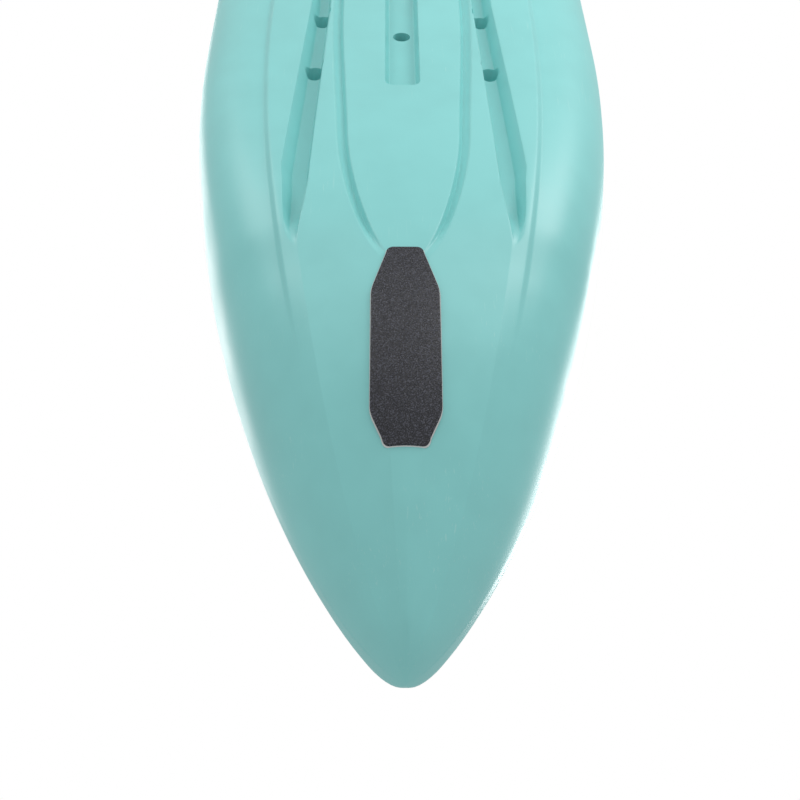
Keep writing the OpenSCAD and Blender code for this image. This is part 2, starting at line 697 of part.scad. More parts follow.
// the bail reaches along +X from its axis, which lies along Y
module bail() {
    difference() {
        union() {
            for (s = [-1, 1]) translate([0, s * handle_half, 0]) {
                along_y(eye_r, -eye_half, eye_half);
                translate([0, -eye_half + 1, -eye_r + 3]) cube([handle_reach, 2 * eye_half - 2,
                    2 * eye_r - 6]);
            }
            translate([handle_reach, 0, 0]) along_y(grip_r, -handle_half - eye_half,
                handle_half + eye_half);
        }
        along_y(pin_r + run_gap, -100, 100);
    }
}
module bail_feet() {
    difference() {
        for (s = [-1, 1]) translate([0, s * (handle_half + eye_half + gap + foot_w / 2), 0]) {
            translate([-eye_r, -foot_w / 2, -axis_h]) cube([2 * eye_r, foot_w, axis_h]);
            along_y(eye_r, -foot_w / 2, foot_w / 2);
        }
        along_y(pin_r + run_gap, -120, 120);
    }
    for (s = [-1, 1]) translate([0, s * (handle_half + eye_half), 0]) along_y(pin_r,
        -2 * eye_half - 1, foot_w + 2, $fn = 32);
}
module at_bow() { translate([bow_handle_x, 0, bow_flat_z + axis_h]) rotate([0, 0, 180]) children(); }
module at_stern() { translate([stern_handle_x, 0, stern_flat_z + axis_h]) children(); }
module at_side() { translate([side_handle_x, side_handle_y, flat_z + axis_h]) rotate([0, 0,
    90]) children(); }
module handle_mounts() {
    color([0.2, 0.2, 0.22]) {
        at_bow() bail_feet();
        at_stern() bail_feet();
        both_sides() at_side() bail_feet();
    }
}
module bow_handle() { color(black) at_bow() bail(); }
module stern_handle() { color(black) at_stern() bail(); }
module left_handle() { color(black) at_side() bail(); }
module right_handle() { color(black) mirror([0, 1, 0]) at_side() bail(); }

// ---- drain --------------------------------------------------------------------------------

drain_lip = 9;
module at_drain() { translate([drain_x, 0, drain_z]) children(); }
module drain_seat() {
    color(black) at_drain() difference() {
        union() {
            translate([0, 0, -30]) cylinder(r = drain_r - 0.2, h = 31);
            cylinder(r = drain_r + drain_lip, h = 3);
        }
        translate([0, 0, -31]) cylinder(r = drain_r - 4, h = 40);
    }
}
module drain_seal() {
    color("dimgray") at_drain() translate([0, 0, 4.1]) rotate_extrude() translate([drain_r,
        0]) circle(r = 1);
}
module drain_plug() {
    color(black) at_drain() difference() {
        union() {
            translate([0, 0, -22]) cylinder(r = drain_r - 4 - gap, h = 30);
            translate([0, 0, 5.4]) cylinder(r = drain_r + 5, h = 4);
            translate([-drain_r, -3, 8]) cube([2 * drain_r, 6, 8]);
        }
    }
}

// ---- tank well cord -----------------------------------------------------------------------

function deck_at(x, y) = sheer_z(x) + (top_z(x) - sheer_z(x)) * pow(1 - pow(abs(y) / half_beam(x),
    deck_fullness), 1 / deck_fullness);
eye_x = [tank_fore - 70, tank_aft + 0.47 * (tank_fore - tank_aft), tank_aft + 70];
eye_y = [tank_half(eye_x[0]) + 45, tank_half(eye_x[1]) + 61, tank_half(eye_x[2]) + 36];
cord_ride = 7;                   // height of the cord above the deck at a button
wrap_r = 7.5;                    // radius of the cord's turn round a button's post
module bungee_eyes() {
    color(black) both_sides() for (i = [0:2]) translate([eye_x[i], eye_y[i], deck_at(eye_x[i],
        eye_y[i]) - 1.5]) {
        cylinder(r = 11, h = 4.5);
        cylinder(r = wrap_r - bungee_r - 0.4, h = 14);
        translate([0, 0, 12.5]) cylinder(r = 9, h = 3);
    }
}
function wrap(i, side, a0, a1) = [for (k = [0:4]) let (a = a0 + (a1 - a0) * k / 4)
    [eye_x[i] + wrap_r * cos(a), side * eye_y[i] + wrap_r * sin(a), deck_at(eye_x[i],
        eye_y[i]) + cord_ride]];
function middle(i, j, dz) = [[(eye_x[i] + eye_x[j]) / 2, 0,
    (deck_at(eye_x[i], eye_y[i]) + deck_at(eye_x[j], eye_y[j])) / 2 + cord_ride + dz]];
cord_route = concat(wrap(0, 1, 20, 150), middle(0, 1, 4), wrap(1, -1, 330, 210), middle(1, 2, 4),
    wrap(2, 1, 30, 180),
                    wrap(2, -1, 180, 330), middle(2, 1, -4), wrap(1, 1, 150, 30), middle(1, 0, -4),
                    wrap(0, -1, 210, 360), [[eye_x[0] + wrap_r, 0, deck_at(eye_x[0],
                        eye_y[0]) + cord_ride + 1]]);
function unit(v) = v / norm(v);
function heading(p, i) = unit(unit(p[min(i + 1, len(p) - 1)] - p[max(i, 0)] + [0, 0, 1e-6])
                              + unit(p[max(i, 1)] - p[max(i, 1) - 1]));
module cord_tube(p, r, sides) {
    n = len(p);
    rings = [for (i = [0:n - 1])
        let (t = i == n - 1 ? unit(p[i] - p[i - 1]) : i == 0 ? unit(p[1] - p[0]) : heading(p, i),
             s = unit(cross([0, 0, 1], t)), u = cross(t, s))
        [for (k = [0:sides - 1]) p[i] + r * (cos(360 * k / sides) * s + sin(360 * k / sides) * u)]];
    polyhedron(points = [for (q = rings) each q], convexity = 10, faces = concat(
        [for (i = [0:n - 2], k = [0:sides - 1]) each let (a = i * sides + k,
            b = i * sides + (k + 1) % sides)
            [[a, a + sides, b], [b, a + sides, b + sides]]],
        [[for (k = [0:sides - 1]) k], [for (k = [sides - 1:-1:0]) (n - 1) * sides + k]]));
}
module tank_bungee() { color([0.1, 0.1, 0.1]) cord_tube(cord_route, bungee_r, 8); }

// ---- inside and fasteners -----------------------------------------------------------------

module foam_bow() { color("white") translate([cockpit_fore + 12, -90, 52]) cube([110, 180, 180]); }
module foam_stern() { color("white") translate([tank_aft + 220, -60, 26]) cube([380 * stretch, 120,
    tank_z - wall - 26 - 1]); }

module screw(z) {
    translate([0, 0, z - 14]) cylinder(r = screw_r, h = 14.5);
    translate([0, 0, z]) intersection() {
        cylinder(r = screw_head_r, h = screw_head_h);
        translate([0, 0, screw_head_h - 12]) sphere(r = 12);
    }
}
module deck_screws() {
    $fn = 24;
    color("silver") {
        for (q = rim_screws) translate([q[0], q[1], 0]) screw(hatch_z + flange_t);
        for (q = day_screws) translate([q[0], q[1], 0]) screw(day_top);
        both_sides() {
            for (x = track_screws) translate([x, track_y, 0]) screw(flat_z + 3);
            for (a = [45:90:315]) translate([rod_x + (rod_r + 12.5) * cos(a),
                rod_y + (rod_r + 12.5) * sin(a), 0])
                screw(flat_z + rod_flange_t);
        }
    }
}

hull();
keel_guard();
guard_adhesive();
hatch_rim();
hatch_gasket();
hatch_lid();
hatch_hinge_pin();
hatch_latch_left();
hatch_latch_right();
latch_pins();
day_hatch_ring();
day_hatch_seal();
day_hatch_lid();
seat_rails();
seat_feet();
seat_base_frame();
seat_base_pad();
seat_hinge_pins();
seat_back_frame();
seat_back_pad();
foot_rail_left();
foot_rail_right();
pedal_left();
pedal_right();
rod_holder_left();
rod_holder_right();
gear_track_left();
gear_track_right();
handle_mounts();
bow_handle();
stern_handle();
left_handle();
right_handle();
drain_seat();
drain_seal();
drain_plug();
bungee_eyes();
tank_bungee();
foam_bow();
foam_stern();
deck_screws();
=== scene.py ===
"""Looks of a sit-on-top kayak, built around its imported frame.

The classes below work in millimetres, in the frame's own axes, and hand over meshes in metres.
"""

import json
import logging
import math
from collections.abc import Callable, Sequence
from dataclasses import dataclass, field
from enum import Enum
from functools import lru_cache

import bmesh
import bpy
from mathutils import Matrix, Vector

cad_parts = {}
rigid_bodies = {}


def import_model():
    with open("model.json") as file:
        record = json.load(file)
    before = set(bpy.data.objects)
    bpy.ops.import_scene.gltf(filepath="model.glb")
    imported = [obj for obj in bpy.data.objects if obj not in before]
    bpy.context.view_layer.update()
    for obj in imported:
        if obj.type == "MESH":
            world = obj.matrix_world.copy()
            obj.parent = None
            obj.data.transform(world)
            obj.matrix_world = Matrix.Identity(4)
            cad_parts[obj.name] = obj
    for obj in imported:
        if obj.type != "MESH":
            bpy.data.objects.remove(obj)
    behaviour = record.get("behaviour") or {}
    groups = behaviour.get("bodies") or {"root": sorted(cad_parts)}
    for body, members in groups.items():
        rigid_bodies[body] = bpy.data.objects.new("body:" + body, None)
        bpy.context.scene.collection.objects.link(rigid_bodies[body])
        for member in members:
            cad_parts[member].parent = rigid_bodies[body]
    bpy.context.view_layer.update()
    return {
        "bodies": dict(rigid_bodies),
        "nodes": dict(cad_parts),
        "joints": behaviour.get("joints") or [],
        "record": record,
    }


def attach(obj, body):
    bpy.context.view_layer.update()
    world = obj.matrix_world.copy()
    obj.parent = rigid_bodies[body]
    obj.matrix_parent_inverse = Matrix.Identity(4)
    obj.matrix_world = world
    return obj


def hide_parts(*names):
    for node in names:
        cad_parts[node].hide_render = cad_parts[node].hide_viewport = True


MM = 0.001
log = logging.getLogger("kayak")

Outline = list[tuple[Vector, Vector]]
Ring = list[Vector]


class Body(Enum):
    """The frame's bodies that new pieces ride on."""

    BOAT = "boat"
    HATCH = "hatch_cover"
    LATCH_LEFT = "latch_left"
    LATCH_RIGHT = "latch_right"
    DAY_COVER = "day_cover"
    SEAT = "seat_base"
    SEAT_BACK = "seat_back"
    BRACE_LEFT = "brace_left"
    BRACE_RIGHT = "brace_right"
    HANDLE_BOW = "handle_bow"
    HANDLE_STERN = "handle_stern"
    HANDLE_LEFT = "handle_left"
    HANDLE_RIGHT = "handle_right"
    DRAIN = "drain_cap"


# ---- hull lines ------------------------------------------------------------------------------


def clip(t: float) -> float:
    """Keeps t between 0 and 1."""
    return max(0.0, min(1.0, t))


def smooth(t: float) -> float:
    """Eases from 0 to 1 as t goes from 0 to 1."""
    c = clip(t)
    return c * c * (3 - 2 * c)


@dataclass(frozen=True)
class HullLines:
    """The moulded form of the hull, in millimetres."""

    half_len: float = 1830
    half_b: float = 420
    gunwale: float = 215
    deck_rise: float = 95
    deck_drop: float = 50
    pad_half: float = 122
    groove: float = 12
    channel_y: float = 150
    channel_depth: float = 30
    strake_step: float = 8
    strake_at: float = 0.65
    deck_full: float = 5

    def from_end(self, x: float) -> float:
        """Distance of a station from the nearer tip."""
        return max(0.0, self.half_len - abs(x))

    def fade(self, x: float, reach: float) -> float:
        """1 at the tip, 0 past reach."""
        return 1 - min(1.0, self.from_end(x) / reach)

    def half_beam(self, x: float) -> float:
        """Half the beam at a station."""
        t = self.fade(x, 1410 if x >= 0 else 1350)
        return self.half_b * max(0.0, 1 - t * t) ** (0.725 if x >= 0 else 0.667)

    def nose(self, x: float) -> float:
        """How far the section has opened behind the rounded tip, from 0 to 1."""
        t = self.fade(x, 50)
        return math.sqrt(max(0.0, 1 - t * t))

    def sheer(self, x: float) -> float:
        """Height of the widest line."""
        t = self.fade(x, 1500)
        return self.gunwale + (150 if x >= 0 else 115) * t * t

    def keel(self, x: float) -> float:
        """Height of the keel line."""
        t = self.fade(x, 1100 if x >= 0 else 900)
        z = (300 if x >= 0 else 240) * t**3
        return self.sheer(x) - (self.sheer(x) - z) * self.nose(x)

    def top(self, x: float) -> float:
        """Height of the deck's centreline."""
        t = self.fade(x, 1500)
        return self.sheer(x) + (self.deck_rise - self.deck_drop * t * t) * self.nose(x)

    def fullness(self, x: float) -> float:
        """How square the bottom's section is."""
        return 1.5 + 2.3 * smooth(self.from_end(x) / 1100)

    def pad(self, x: float) -> float:
        """Half width of the flat centre pad."""
        share, d = self.half_beam(x) / self.half_b, self.from_end(x)
        u = clip((950 - d) / 355)
        return share * self.pad_half * max(0.25, (0.92 + 0.08 * smooth((d - 950) / 500)) * math.sqrt(1 - u * u))

    def pad_fade(self, x: float) -> float:
        """How far the pad stands out of the bottom, from 0 to 1."""
        return smooth((self.from_end(x) - 595) / 120)

    def flat(self, x: float) -> float:
        """Half width of the part of the section that is dead flat."""
        return self.pad(x) * self.pad_fade(x)

    def channel_in(self, x: float) -> float:
        """Distance of a side channel's inner edge from the centreline."""
        d = self.from_end(x)
        out = self.channel_y + 20 * clip((1448 - d) / 643) + 14 * clip((805 - d) / 135)
        return min(0.56 * self.half_beam(x), out)

    def channel_open(self, x: float) -> float:
        """Width of a side channel."""
        d = self.from_end(x) - 650
        if d <= 0:
            return 0.0
        return math.sqrt(min(1.0, d / 200)) * (51 - 12 * clip((d - 200) / 580))

    def bottom(self, x: float, y: float) -> float:
        """Height of the plain bottom at a distance y from the centreline."""
        b, p, m = self.half_beam(x), self.flat(x), self.fullness(x)
        t = max(0.0, min(1.0, (abs(y) - p) / max(b - p, 1e-6)))
        return self.keel(x) + (self.sheer(x) - self.keel(x)) * (1 - (1 - t**m) ** (1 / m))

    def deck(self, x: float, y: float) -> float:
        """Height of the deck at a distance y from the centreline."""
        t = min(1.0, abs(y) / max(self.half_beam(x), 1e-6))
        n = self.deck_full
        return self.sheer(x) + (self.top(x) - self.sheer(x)) * (1 - t**n) ** (1 / n)

    @lru_cache(maxsize=2048)
    def knots(self, x: float) -> tuple[tuple[float, float], ...]:
        """Corners of the bottom's relief, as distance from the centreline and lift.

        Args:
            x: The station.

        Returns:
            Pairs of distance and lift, from the keel outwards.
        """
        b = self.half_beam(x)
        s, p, ci = b / self.half_b, self.pad(x), self.channel_in(x)
        g = self.groove * self.pad_fade(x)
        cw = max(self.channel_open(x), 6 * s)
        c = self.channel_depth * smooth((self.from_end(x) - 650) / 110)
        k = self.strake_step * smooth((self.from_end(x) - 420) / 260)
        st = self.strake_at * b
        return ((0, 0), (p, 0), (p + 4 * s, g), (p + 13 * s, 0.75 * g), (p + 22 * s, 0), (ci, 0),
                (ci + 0.06 * cw, c), (ci + 0.63 * cw, c), (ci + cw, 0), (st - 4 * s, 0), (st + 4 * s, k))

    def lift(self, x: float, y: float) -> float:
        """Lift of the bottom's relief, with its corners rounded over a few millimetres.

        Args:
            x: The station.
            y: Distance from the centreline.

        Returns:
            How far the skin stands above the plain bottom.
        """
        points = self.knots(x)
        r = 2.6 * self.half_beam(x) / self.half_b

        def at(v: float) -> float:
            """Lift with sharp corners."""
            v = max(0.0, v)
            for (y0, z0), (y1, z1) in zip(points, points[1:]):
                if v <= y1:
                    return z0 + (z1 - z0) * (v - y0) / max(y1 - y0, 1e-6)
            return points[-1][1]

        return (at(y - r) + 2 * at(y - r / 2) + 2 * at(y) + 2 * at(y + r / 2) + at(y + r)) / 8

    def half_section(self, x: float) -> list[tuple[float, float]]:
        """Half of one section, from the keel to the deck's centreline.

        Args:
            x: The station.

        Returns:
            Points as distance from the centreline and height.
        """
        b = self.half_beam(x)
        s, p, ci, cw = b / self.half_b, self.pad(x), self.channel_in(x), max(self.channel_open(x), 6 * b / self.half_b)
        st, m, flat = self.strake_at * b, self.fullness(x), self.flat(x)
        marks = [0, 0.2 * p, 0.4 * p, 0.6 * p, 0.8 * p, 0.92 * p]
        marks += [p + d * s for d in (-3, -1.5, 0, 1.3, 2.7, 4, 5.5, 9, 13, 17, 20, 22, 24.5)]
        marks += [ci - 4 * s, ci - 1.5 * s] + [ci + f * cw for f in (0.01, 0.035, 0.06, 0.1, 0.22, 0.4, 0.56, 0.63, 0.68)]
        marks += [ci + f * cw for f in (0.8, 0.92, 1.0)] + [ci + cw + 3 * s, (ci + cw + st) / 2]
        marks += [st + d * s for d in (-8, -5, -2.5, 0, 2.5, 5, 8)]
        points, last = [], -1.0
        for y in marks:
            y = max(y, last + 0.02 * s)
            last = y
            points.append((y, self.bottom(x, y) + self.lift(x, y)))
        a0 = math.asin(min(1.0, (max(0.0, last - flat) / max(b - flat, 1e-6)) ** (m / 2)))
        end = self.lift(x, last)
        steps = 12
        for i in range(1, steps + 1):
            a = a0 + (math.pi / 2 - a0) * i / steps
            y = flat + (b - flat) * math.sin(a) ** (2 / m)
            points.append((y + (0.9 * self.nose(x) if i == steps else 0), self.bottom(x, min(y, b)) + end * (1 - i / steps)))
        rise = self.top(x) - self.sheer(x)
        for a in (4, 12, 22, 32, 42, 52, 60, 67):
            a = math.radians(a)
            points.append((b * math.cos(a) ** (2 / self.deck_full), self.sheer(x) + rise * math.sin(a) ** (2 / self.deck_full)))
        edge = points[-1][0]
        points += [(edge * (1 - i / 12), self.deck(x, edge * (1 - i / 12))) for i in range(1, 13)]
        return points

    def section(self, x: float) -> Ring:
        """The whole closed section at a station, from the keel round over the deck."""
        half = self.half_section(x)
        return [Vector((x, y, z)) for y, z in half] + [Vector((x, -y, z)) for y, z in half[-2:0:-1]]

    def stations(self, fine: float, coarse: float) -> list[float]:
        """Stations from bow to stern, close together at the tips and over the bow's relief.

        Args:
            fine: Spacing over the forebody.
            coarse: Spacing elsewhere.

        Returns:
            The stations, in millimetres.
        """
        near = [50 * (i / 9) ** 2 for i in range(10)] + [62, 78, 97, 120]
        bow_end, stern_end = self.half_len - 120, self.half_len - 120
        xs = [self.half_len - d for d in near]
        x = bow_end - fine
        while x > -stern_end + coarse:
            xs.append(x)
            x -= fine if x > 520 else coarse
        return xs + [d - self.half_len for d in reversed(near)]


# ---- mesh helpers ----------------------------------------------------------------------------


def rounded_outline(corners: Sequence[tuple[float, float]], radius: float, step: float = 22, arc: int = 7) -> Outline:
    """Outline of a convex shape with rounded corners.

    Args:
        corners: The sharp corners, anticlockwise.
        radius: Radius of every corner.
        step: Longest stretch between points on a straight side.
        arc: Number of steps round a corner.

    Returns:
        Points with their outward normals.
    """
    pts = [Vector(c) for c in corners]
    n = len(pts)
    normals = []
    for i in range(n):
        d = (pts[(i + 1) % n] - pts[i]).normalized()
        normals.append(Vector((d.y, -d.x)))
    centres = []
    for i in range(n):
        a, b = normals[i - 1], normals[i]
        centres.append(pts[i] - (a + b) * (radius / (1 + a.dot(b))))
    out: Outline = []
    for i in range(n):
        a0 = math.atan2(normals[i - 1].y, normals[i - 1].x)
        a1 = math.atan2(normals[i].y, normals[i].x)
        if a1 < a0:
            a1 += 2 * math.pi
        for k in range(arc + 1):
            a = a0 + (a1 - a0) * k / arc
            nv = Vector((math.cos(a), math.sin(a)))
            out.append((centres[i] + nv * radius, nv))
        start = centres[i] + normals[i] * radius
        end = centres[(i + 1) % n] + normals[i] * radius
        count = int((end - start).length / step)
        out += [(start.lerp(end, k / (count + 1)), normals[i]) for k in range(1, count + 1)]
    return out


def rectangle(x0: float, x1: float, y0: float, y1: float, radius: float, step: float = 22, arc: int = 7) -> Outline:
    """Outline of a rectangle with rounded corners."""
    return rounded_outline([(x0, y0), (x1, y0), (x1, y1), (x0, y1)], radius, step, arc)


def circle(x: float, y: float, radius: float, count: int = 40) -> Outline:
    """Outline of a circle."""
    turns = [2 * math.pi * i / count for i in range(count)]
    return [(Vector((x + radius * math.cos(a), y + radius * math.sin(a))), Vector((math.cos(a), math.sin(a)))) for a in turns]


def loft(rings: Sequence[Ring], closed: bool = True) -> bmesh.types.BMesh:
    """Skins a row of closed rings, each with the same number of points.

    Args:
        rings: The rings, in order.
        closed: Whether open ends are filled.

    Returns:
        The closed mesh, with its faces turned outwards.
    """
    bm = bmesh.new()
    rows, cols = len(rings) - 1, len(rings[0])
    bmesh.ops.create_grid(bm, x_segments=cols, y_segments=rows, size=1)
    for v in bm.verts:
        i = round((v.co.x + 1) / 2 * cols) % cols
        j = round((v.co.y + 1) / 2 * rows)
        v.co = rings[j][i]
    bmesh.ops.remove_doubles(bm, verts=bm.verts, dist=1e-3)
    if closed:
        ends = [e for e in bm.edges if e.is_boundary]
        if ends:
            filled = bmesh.ops.holes_fill(bm, edges=ends, sides=0)
            bmesh.ops.triangulate(bm, faces=filled["faces"])
    bmesh.ops.recalc_face_normals(bm, faces=bm.faces)
    return bm


def to_object(bm: bmesh.types.BMesh, name: str, unit: float = MM, sharp: float = 40) -> bpy.types.Object:
    """Turns a bmesh into an object at the origin, shaded smooth up to an angle.

    Args:
        bm: The mesh, which is freed.
        name: Name of the object.
        unit: Metres in one unit of the mesh.
        sharp: Angle in degrees past which an edge stays sharp.

    Returns:
        The new object.
    """
    bmesh.ops.scale(bm, vec=(unit, unit, unit), verts=bm.verts)
    limit = math.radians(sharp)
    for f in bm.faces:
        f.smooth = True
    for e in bm.edges:
        e.smooth = not (e.is_manifold and e.calc_face_angle(0) > limit)
    mesh = bpy.data.meshes.new(name)
    bm.to_mesh(mesh)
    bm.free()
    obj = bpy.data.objects.new(name, mesh)
    bpy.context.scene.collection.objects.link(obj)
    return obj


def bake_modifiers(obj: bpy.types.Object) -> None:
    """Applies an object's modifiers to its mesh."""
    graph = bpy.context.evaluated_depsgraph_get()
    mesh = bpy.data.meshes.new_from_object(obj.evaluated_get(graph))
    obj.modifiers.clear()
    old, obj.data = obj.data, mesh
    bpy.data.meshes.remove(old)


def dress(obj: bpy.types.Object, body: Body, material: bpy.types.Material) -> bpy.types.Object:
    """Gives a new piece its body and material.

    Args:
        obj: The piece.
        body: The body it rides on.
        material: Its material.

    Returns:
        The same piece.
    """
    obj.data.materials.clear()
    obj.data.materials.append(material)
    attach(obj, body.value)
    log.info("%s: %d faces on %s", obj.name, len(obj.data.polygons), body.value)
    return obj


# ---- node helpers and shared effects ---------------------------------------------------------


class Nodes:
    """Adds and links nodes in one tree."""

    def __init__(self, tree: bpy.types.NodeTree) -> None:
        """Starts on an empty tree."""
        self.tree = tree

    def add(self, kind: str, inputs: dict | None = None, **props: object) -> bpy.types.Node:
        """Adds a node, sets its properties and fills or links its inputs.

        Args:
            kind: The node's type.
            inputs: Values or output sockets, by the input's name or number.
            **props: Properties of the node.

        Returns:
            The new node.
        """
        node = self.tree.nodes.new(kind)
        for key, value in props.items():
            setattr(node, key, value)
        for key, value in (inputs or {}).items():
            if isinstance(value, bpy.types.NodeSocket):
                self.tree.links.new(value, node.inputs[key])
            else:
                node.inputs[key].default_value = value
        return node

    def math(self, operation: str, a: object, b: object = 0.0, clamp: bool = False) -> bpy.types.NodeSocket:
        """Adds a Math node and returns its output."""
        return self.add("ShaderNodeMath", {0: a, 1: b}, operation=operation, use_clamp=clamp).outputs[0]

    def noise(self, vector: object, scale: object, detail: float = 3.0, rough: float = 0.5) -> bpy.types.NodeSocket:
        """Adds a Noise Texture and returns its value."""
        return self.add("ShaderNodeTexNoise", {"Vector": vector, "Scale": scale, "Detail": detail,
                                               "Roughness": rough}).outputs["Fac"]

    def remap(self, value: object, lo: object, hi: object, to_lo: object = 0.0, to_hi: object = 1.0) -> bpy.types.NodeSocket:
        """Adds a smooth Map Range and returns its result."""
        return self.add("ShaderNodeMapRange", {"Value": value, "From Min": lo, "From Max": hi, "To Min": to_lo,
                                               "To Max": to_hi}, interpolation_type="SMOOTHSTEP").outputs["Result"]

    def mix(self, share: object, a: object, b: object, blend: str = "MIX") -> bpy.types.NodeSocket:
        """Adds a colour Mix and returns its result."""
        node = self.tree.nodes.new("ShaderNodeMix")
        node.data_type, node.blend_type = "RGBA", blend
        for key, value in ((0, share), (6, a), (7, b)):
            if isinstance(value, bpy.types.NodeSocket):
                self.tree.links.new(value, node.inputs[key])
            else:
                node.inputs[key].default_value = value
        return node.outputs[2]


def new_group(name: str, inputs: dict[str, float | None], outputs: Sequence[str]) -> tuple[bpy.types.NodeTree, Nodes, dict, bpy.types.Node]:
    """Makes an empty shader group.

    Args:
        name: The group's name.
        inputs: Default of each float input, or None for a vector.
        outputs: Names of its float outputs.

    Returns:
        The group, its node adder, its input sockets by name, and its output node.
    """
    tree = bpy.data.node_groups.new(name, "ShaderNodeTree")
    for key, value in inputs.items():
        kind = "NodeSocketVector" if value is None else "NodeSocketFloat"
        socket = tree.interface.new_socket(key, in_out="INPUT", socket_type=kind)
        if value is not None:
            socket.default_value = value
    for key in outputs:
        tree.interface.new_socket(key, in_out="OUTPUT", socket_type="NodeSocketFloat")
    nodes = Nodes(tree)
    source = nodes.add("NodeGroupInput")
    sink = nodes.add("NodeGroupOutput")
    return tree, nodes, {s.name: s for s in source.outputs if s.name}, sink


class Effects:
    """Shader groups that several finishes share."""

    def __init__(self) -> None:
        """Builds every group once."""
        self.grain = self.build_grain()
        self.mottle = self.build_mottle()
        self.scuffs = self.build_scuffs()
        self.edges = self.build_edges()
        self.dust = self.build_dust()
        self.weave = self.build_weave()
        self.braid = self.build_braid()

    @staticmethod
    def build_grain() -> bpy.types.NodeTree:
        """Fine moulded grain over a slow orange peel."""
        tree, n, src, out = new_group("moulded_grain", {"Vector": None, "Fine": 900.0, "Peel": 60.0, "Share": 0.5}, ["Height"])
        fine = n.noise(src["Vector"], src["Fine"], 2.0)
        peel = n.noise(src["Vector"], src["Peel"], 1.0)
        mixed = n.add("ShaderNodeMix", {0: src["Share"], 2: fine, 3: peel}, data_type="FLOAT").outputs[0]
        tree.links.new(mixed, out.inputs["Height"])
        return tree

    @staticmethod
    def build_mottle() -> bpy.types.NodeTree:
        """Slow colour change over a surface, from -1 to 1."""
        tree, n, src, out = new_group("colour_mottle", {"Vector": None, "Scale": 3.0}, ["Value"])
        slow = n.noise(src["Vector"], src["Scale"], 3.0, 0.6)
        quick = n.noise(src["Vector"], n.math("MULTIPLY", src["Scale"], 9.0), 2.0)
        total = n.math("ADD", n.math("MULTIPLY", slow, 0.7), n.math("MULTIPLY", quick, 0.3))
        tree.links.new(n.remap(total, 0.32, 0.68, -1.0, 1.0), out.inputs["Value"])
        return tree

    @staticmethod
    def build_scuffs() -> bpy.types.NodeTree:
        """Fine scratches that run mostly along the object, gathered in patches."""
        tree, n, src, out = new_group("long_scuffs", {"Vector": None, "Scale": 1.0, "Amount": 0.5}, ["Mask"])
        masks = []
        for turn, squeeze in ((0.06, (7.0, 230.0, 90.0)), (-0.35, (12.0, 300.0, 160.0))):
            spun = n.add("ShaderNodeMapping", {"Vector": src["Vector"], "Rotation": (0.0, 0.0, turn), "Scale": squeeze})
            line = n.noise(spun.outputs[0], src["Scale"], 2.0, 0.55)
            masks.append(n.remap(line, 0.66, 0.72))
        patch = n.remap(n.noise(src["Vector"], 5.0, 2.0), 0.5, 0.66)
        both = n.math("MAXIMUM", masks[0], masks[1])
        mask = n.math("MULTIPLY", n.math("MULTIPLY", both, patch), src["Amount"], clamp=True)
        tree.links.new(mask, out.inputs["Mask"])
        return tree

    @staticmethod
    def build_edges() -> bpy.types.NodeTree:
        """Wear along raised edges, broken up by noise."""
        tree, n, src, out = new_group("edge_wear", {"Vector": None, "Start": 0.52, "Amount": 0.5}, ["Mask"])
        point = n.add("ShaderNodeNewGeometry").outputs["Pointiness"]
        raised = n.remap(point, src["Start"], n.math("ADD", src["Start"], 0.08))
        broken = n.remap(n.noise(src["Vector"], 160.0, 4.0, 0.65), 0.4, 0.62)
        mask = n.math("MULTIPLY", n.math("MULTIPLY", raised, broken), src["Amount"], clamp=True)
        tree.links.new(mask, out.inputs["Mask"])
        return tree

    @staticmethod
    def build_dust() -> bpy.types.NodeTree:
        """Dust and dried water marks that settle on faces turned upwards."""
        tree, n, src, out = new_group("settled_dust", {"Vector": None, "Amount": 0.3}, ["Mask"])
        normal = n.add("ShaderNodeNewGeometry").outputs["Normal"]
        up = n.remap(n.add("ShaderNodeSeparateXYZ", {0: normal}).outputs[2], 0.55, 1.0)
        spots = n.remap(n.noise(src["Vector"], 24.0, 5.0, 0.65), 0.42, 0.72)
        mask = n.math("MULTIPLY", n.math("MULTIPLY", up, spots), src["Amount"], clamp=True)
        tree.links.new(mask, out.inputs["Mask"])
        return tree

    @staticmethod
    def build_weave() -> bpy.types.NodeTree:
        """Plain weave of two threads, from coordinates in metres."""
        tree, n, src, out = new_group("plain_weave", {"Vector": None, "Threads": 900.0}, ["Height", "Gap"])
        parts = n.add("ShaderNodeSeparateXYZ", {0: src["Vector"]}).outputs
        across = n.math("MULTIPLY", parts[0], n.math("MULTIPLY", src["Threads"], math.pi))
        along = n.math("MULTIPLY", parts[1], n.math("MULTIPLY", src["Threads"], math.pi))
        warp = n.math("ABSOLUTE", n.math("SINE", across))
        weft = n.math("ABSOLUTE", n.math("SINE", along))
        over = n.math("GREATER_THAN", n.math("MULTIPLY", n.math("SINE", n.math("MULTIPLY", across, 0.5)),
                                             n.math("SINE", n.math("MULTIPLY", along, 0.5))), 0.0)
        height = n.add("ShaderNodeMix", {0: over, 2: warp, 3: weft}, data_type="FLOAT").outputs[0]
        tree.links.new(height, out.inputs["Height"])
        tree.links.new(n.remap(n.math("MAXIMUM", warp, weft), 0.55, 0.25), out.inputs["Gap"])
        return tree

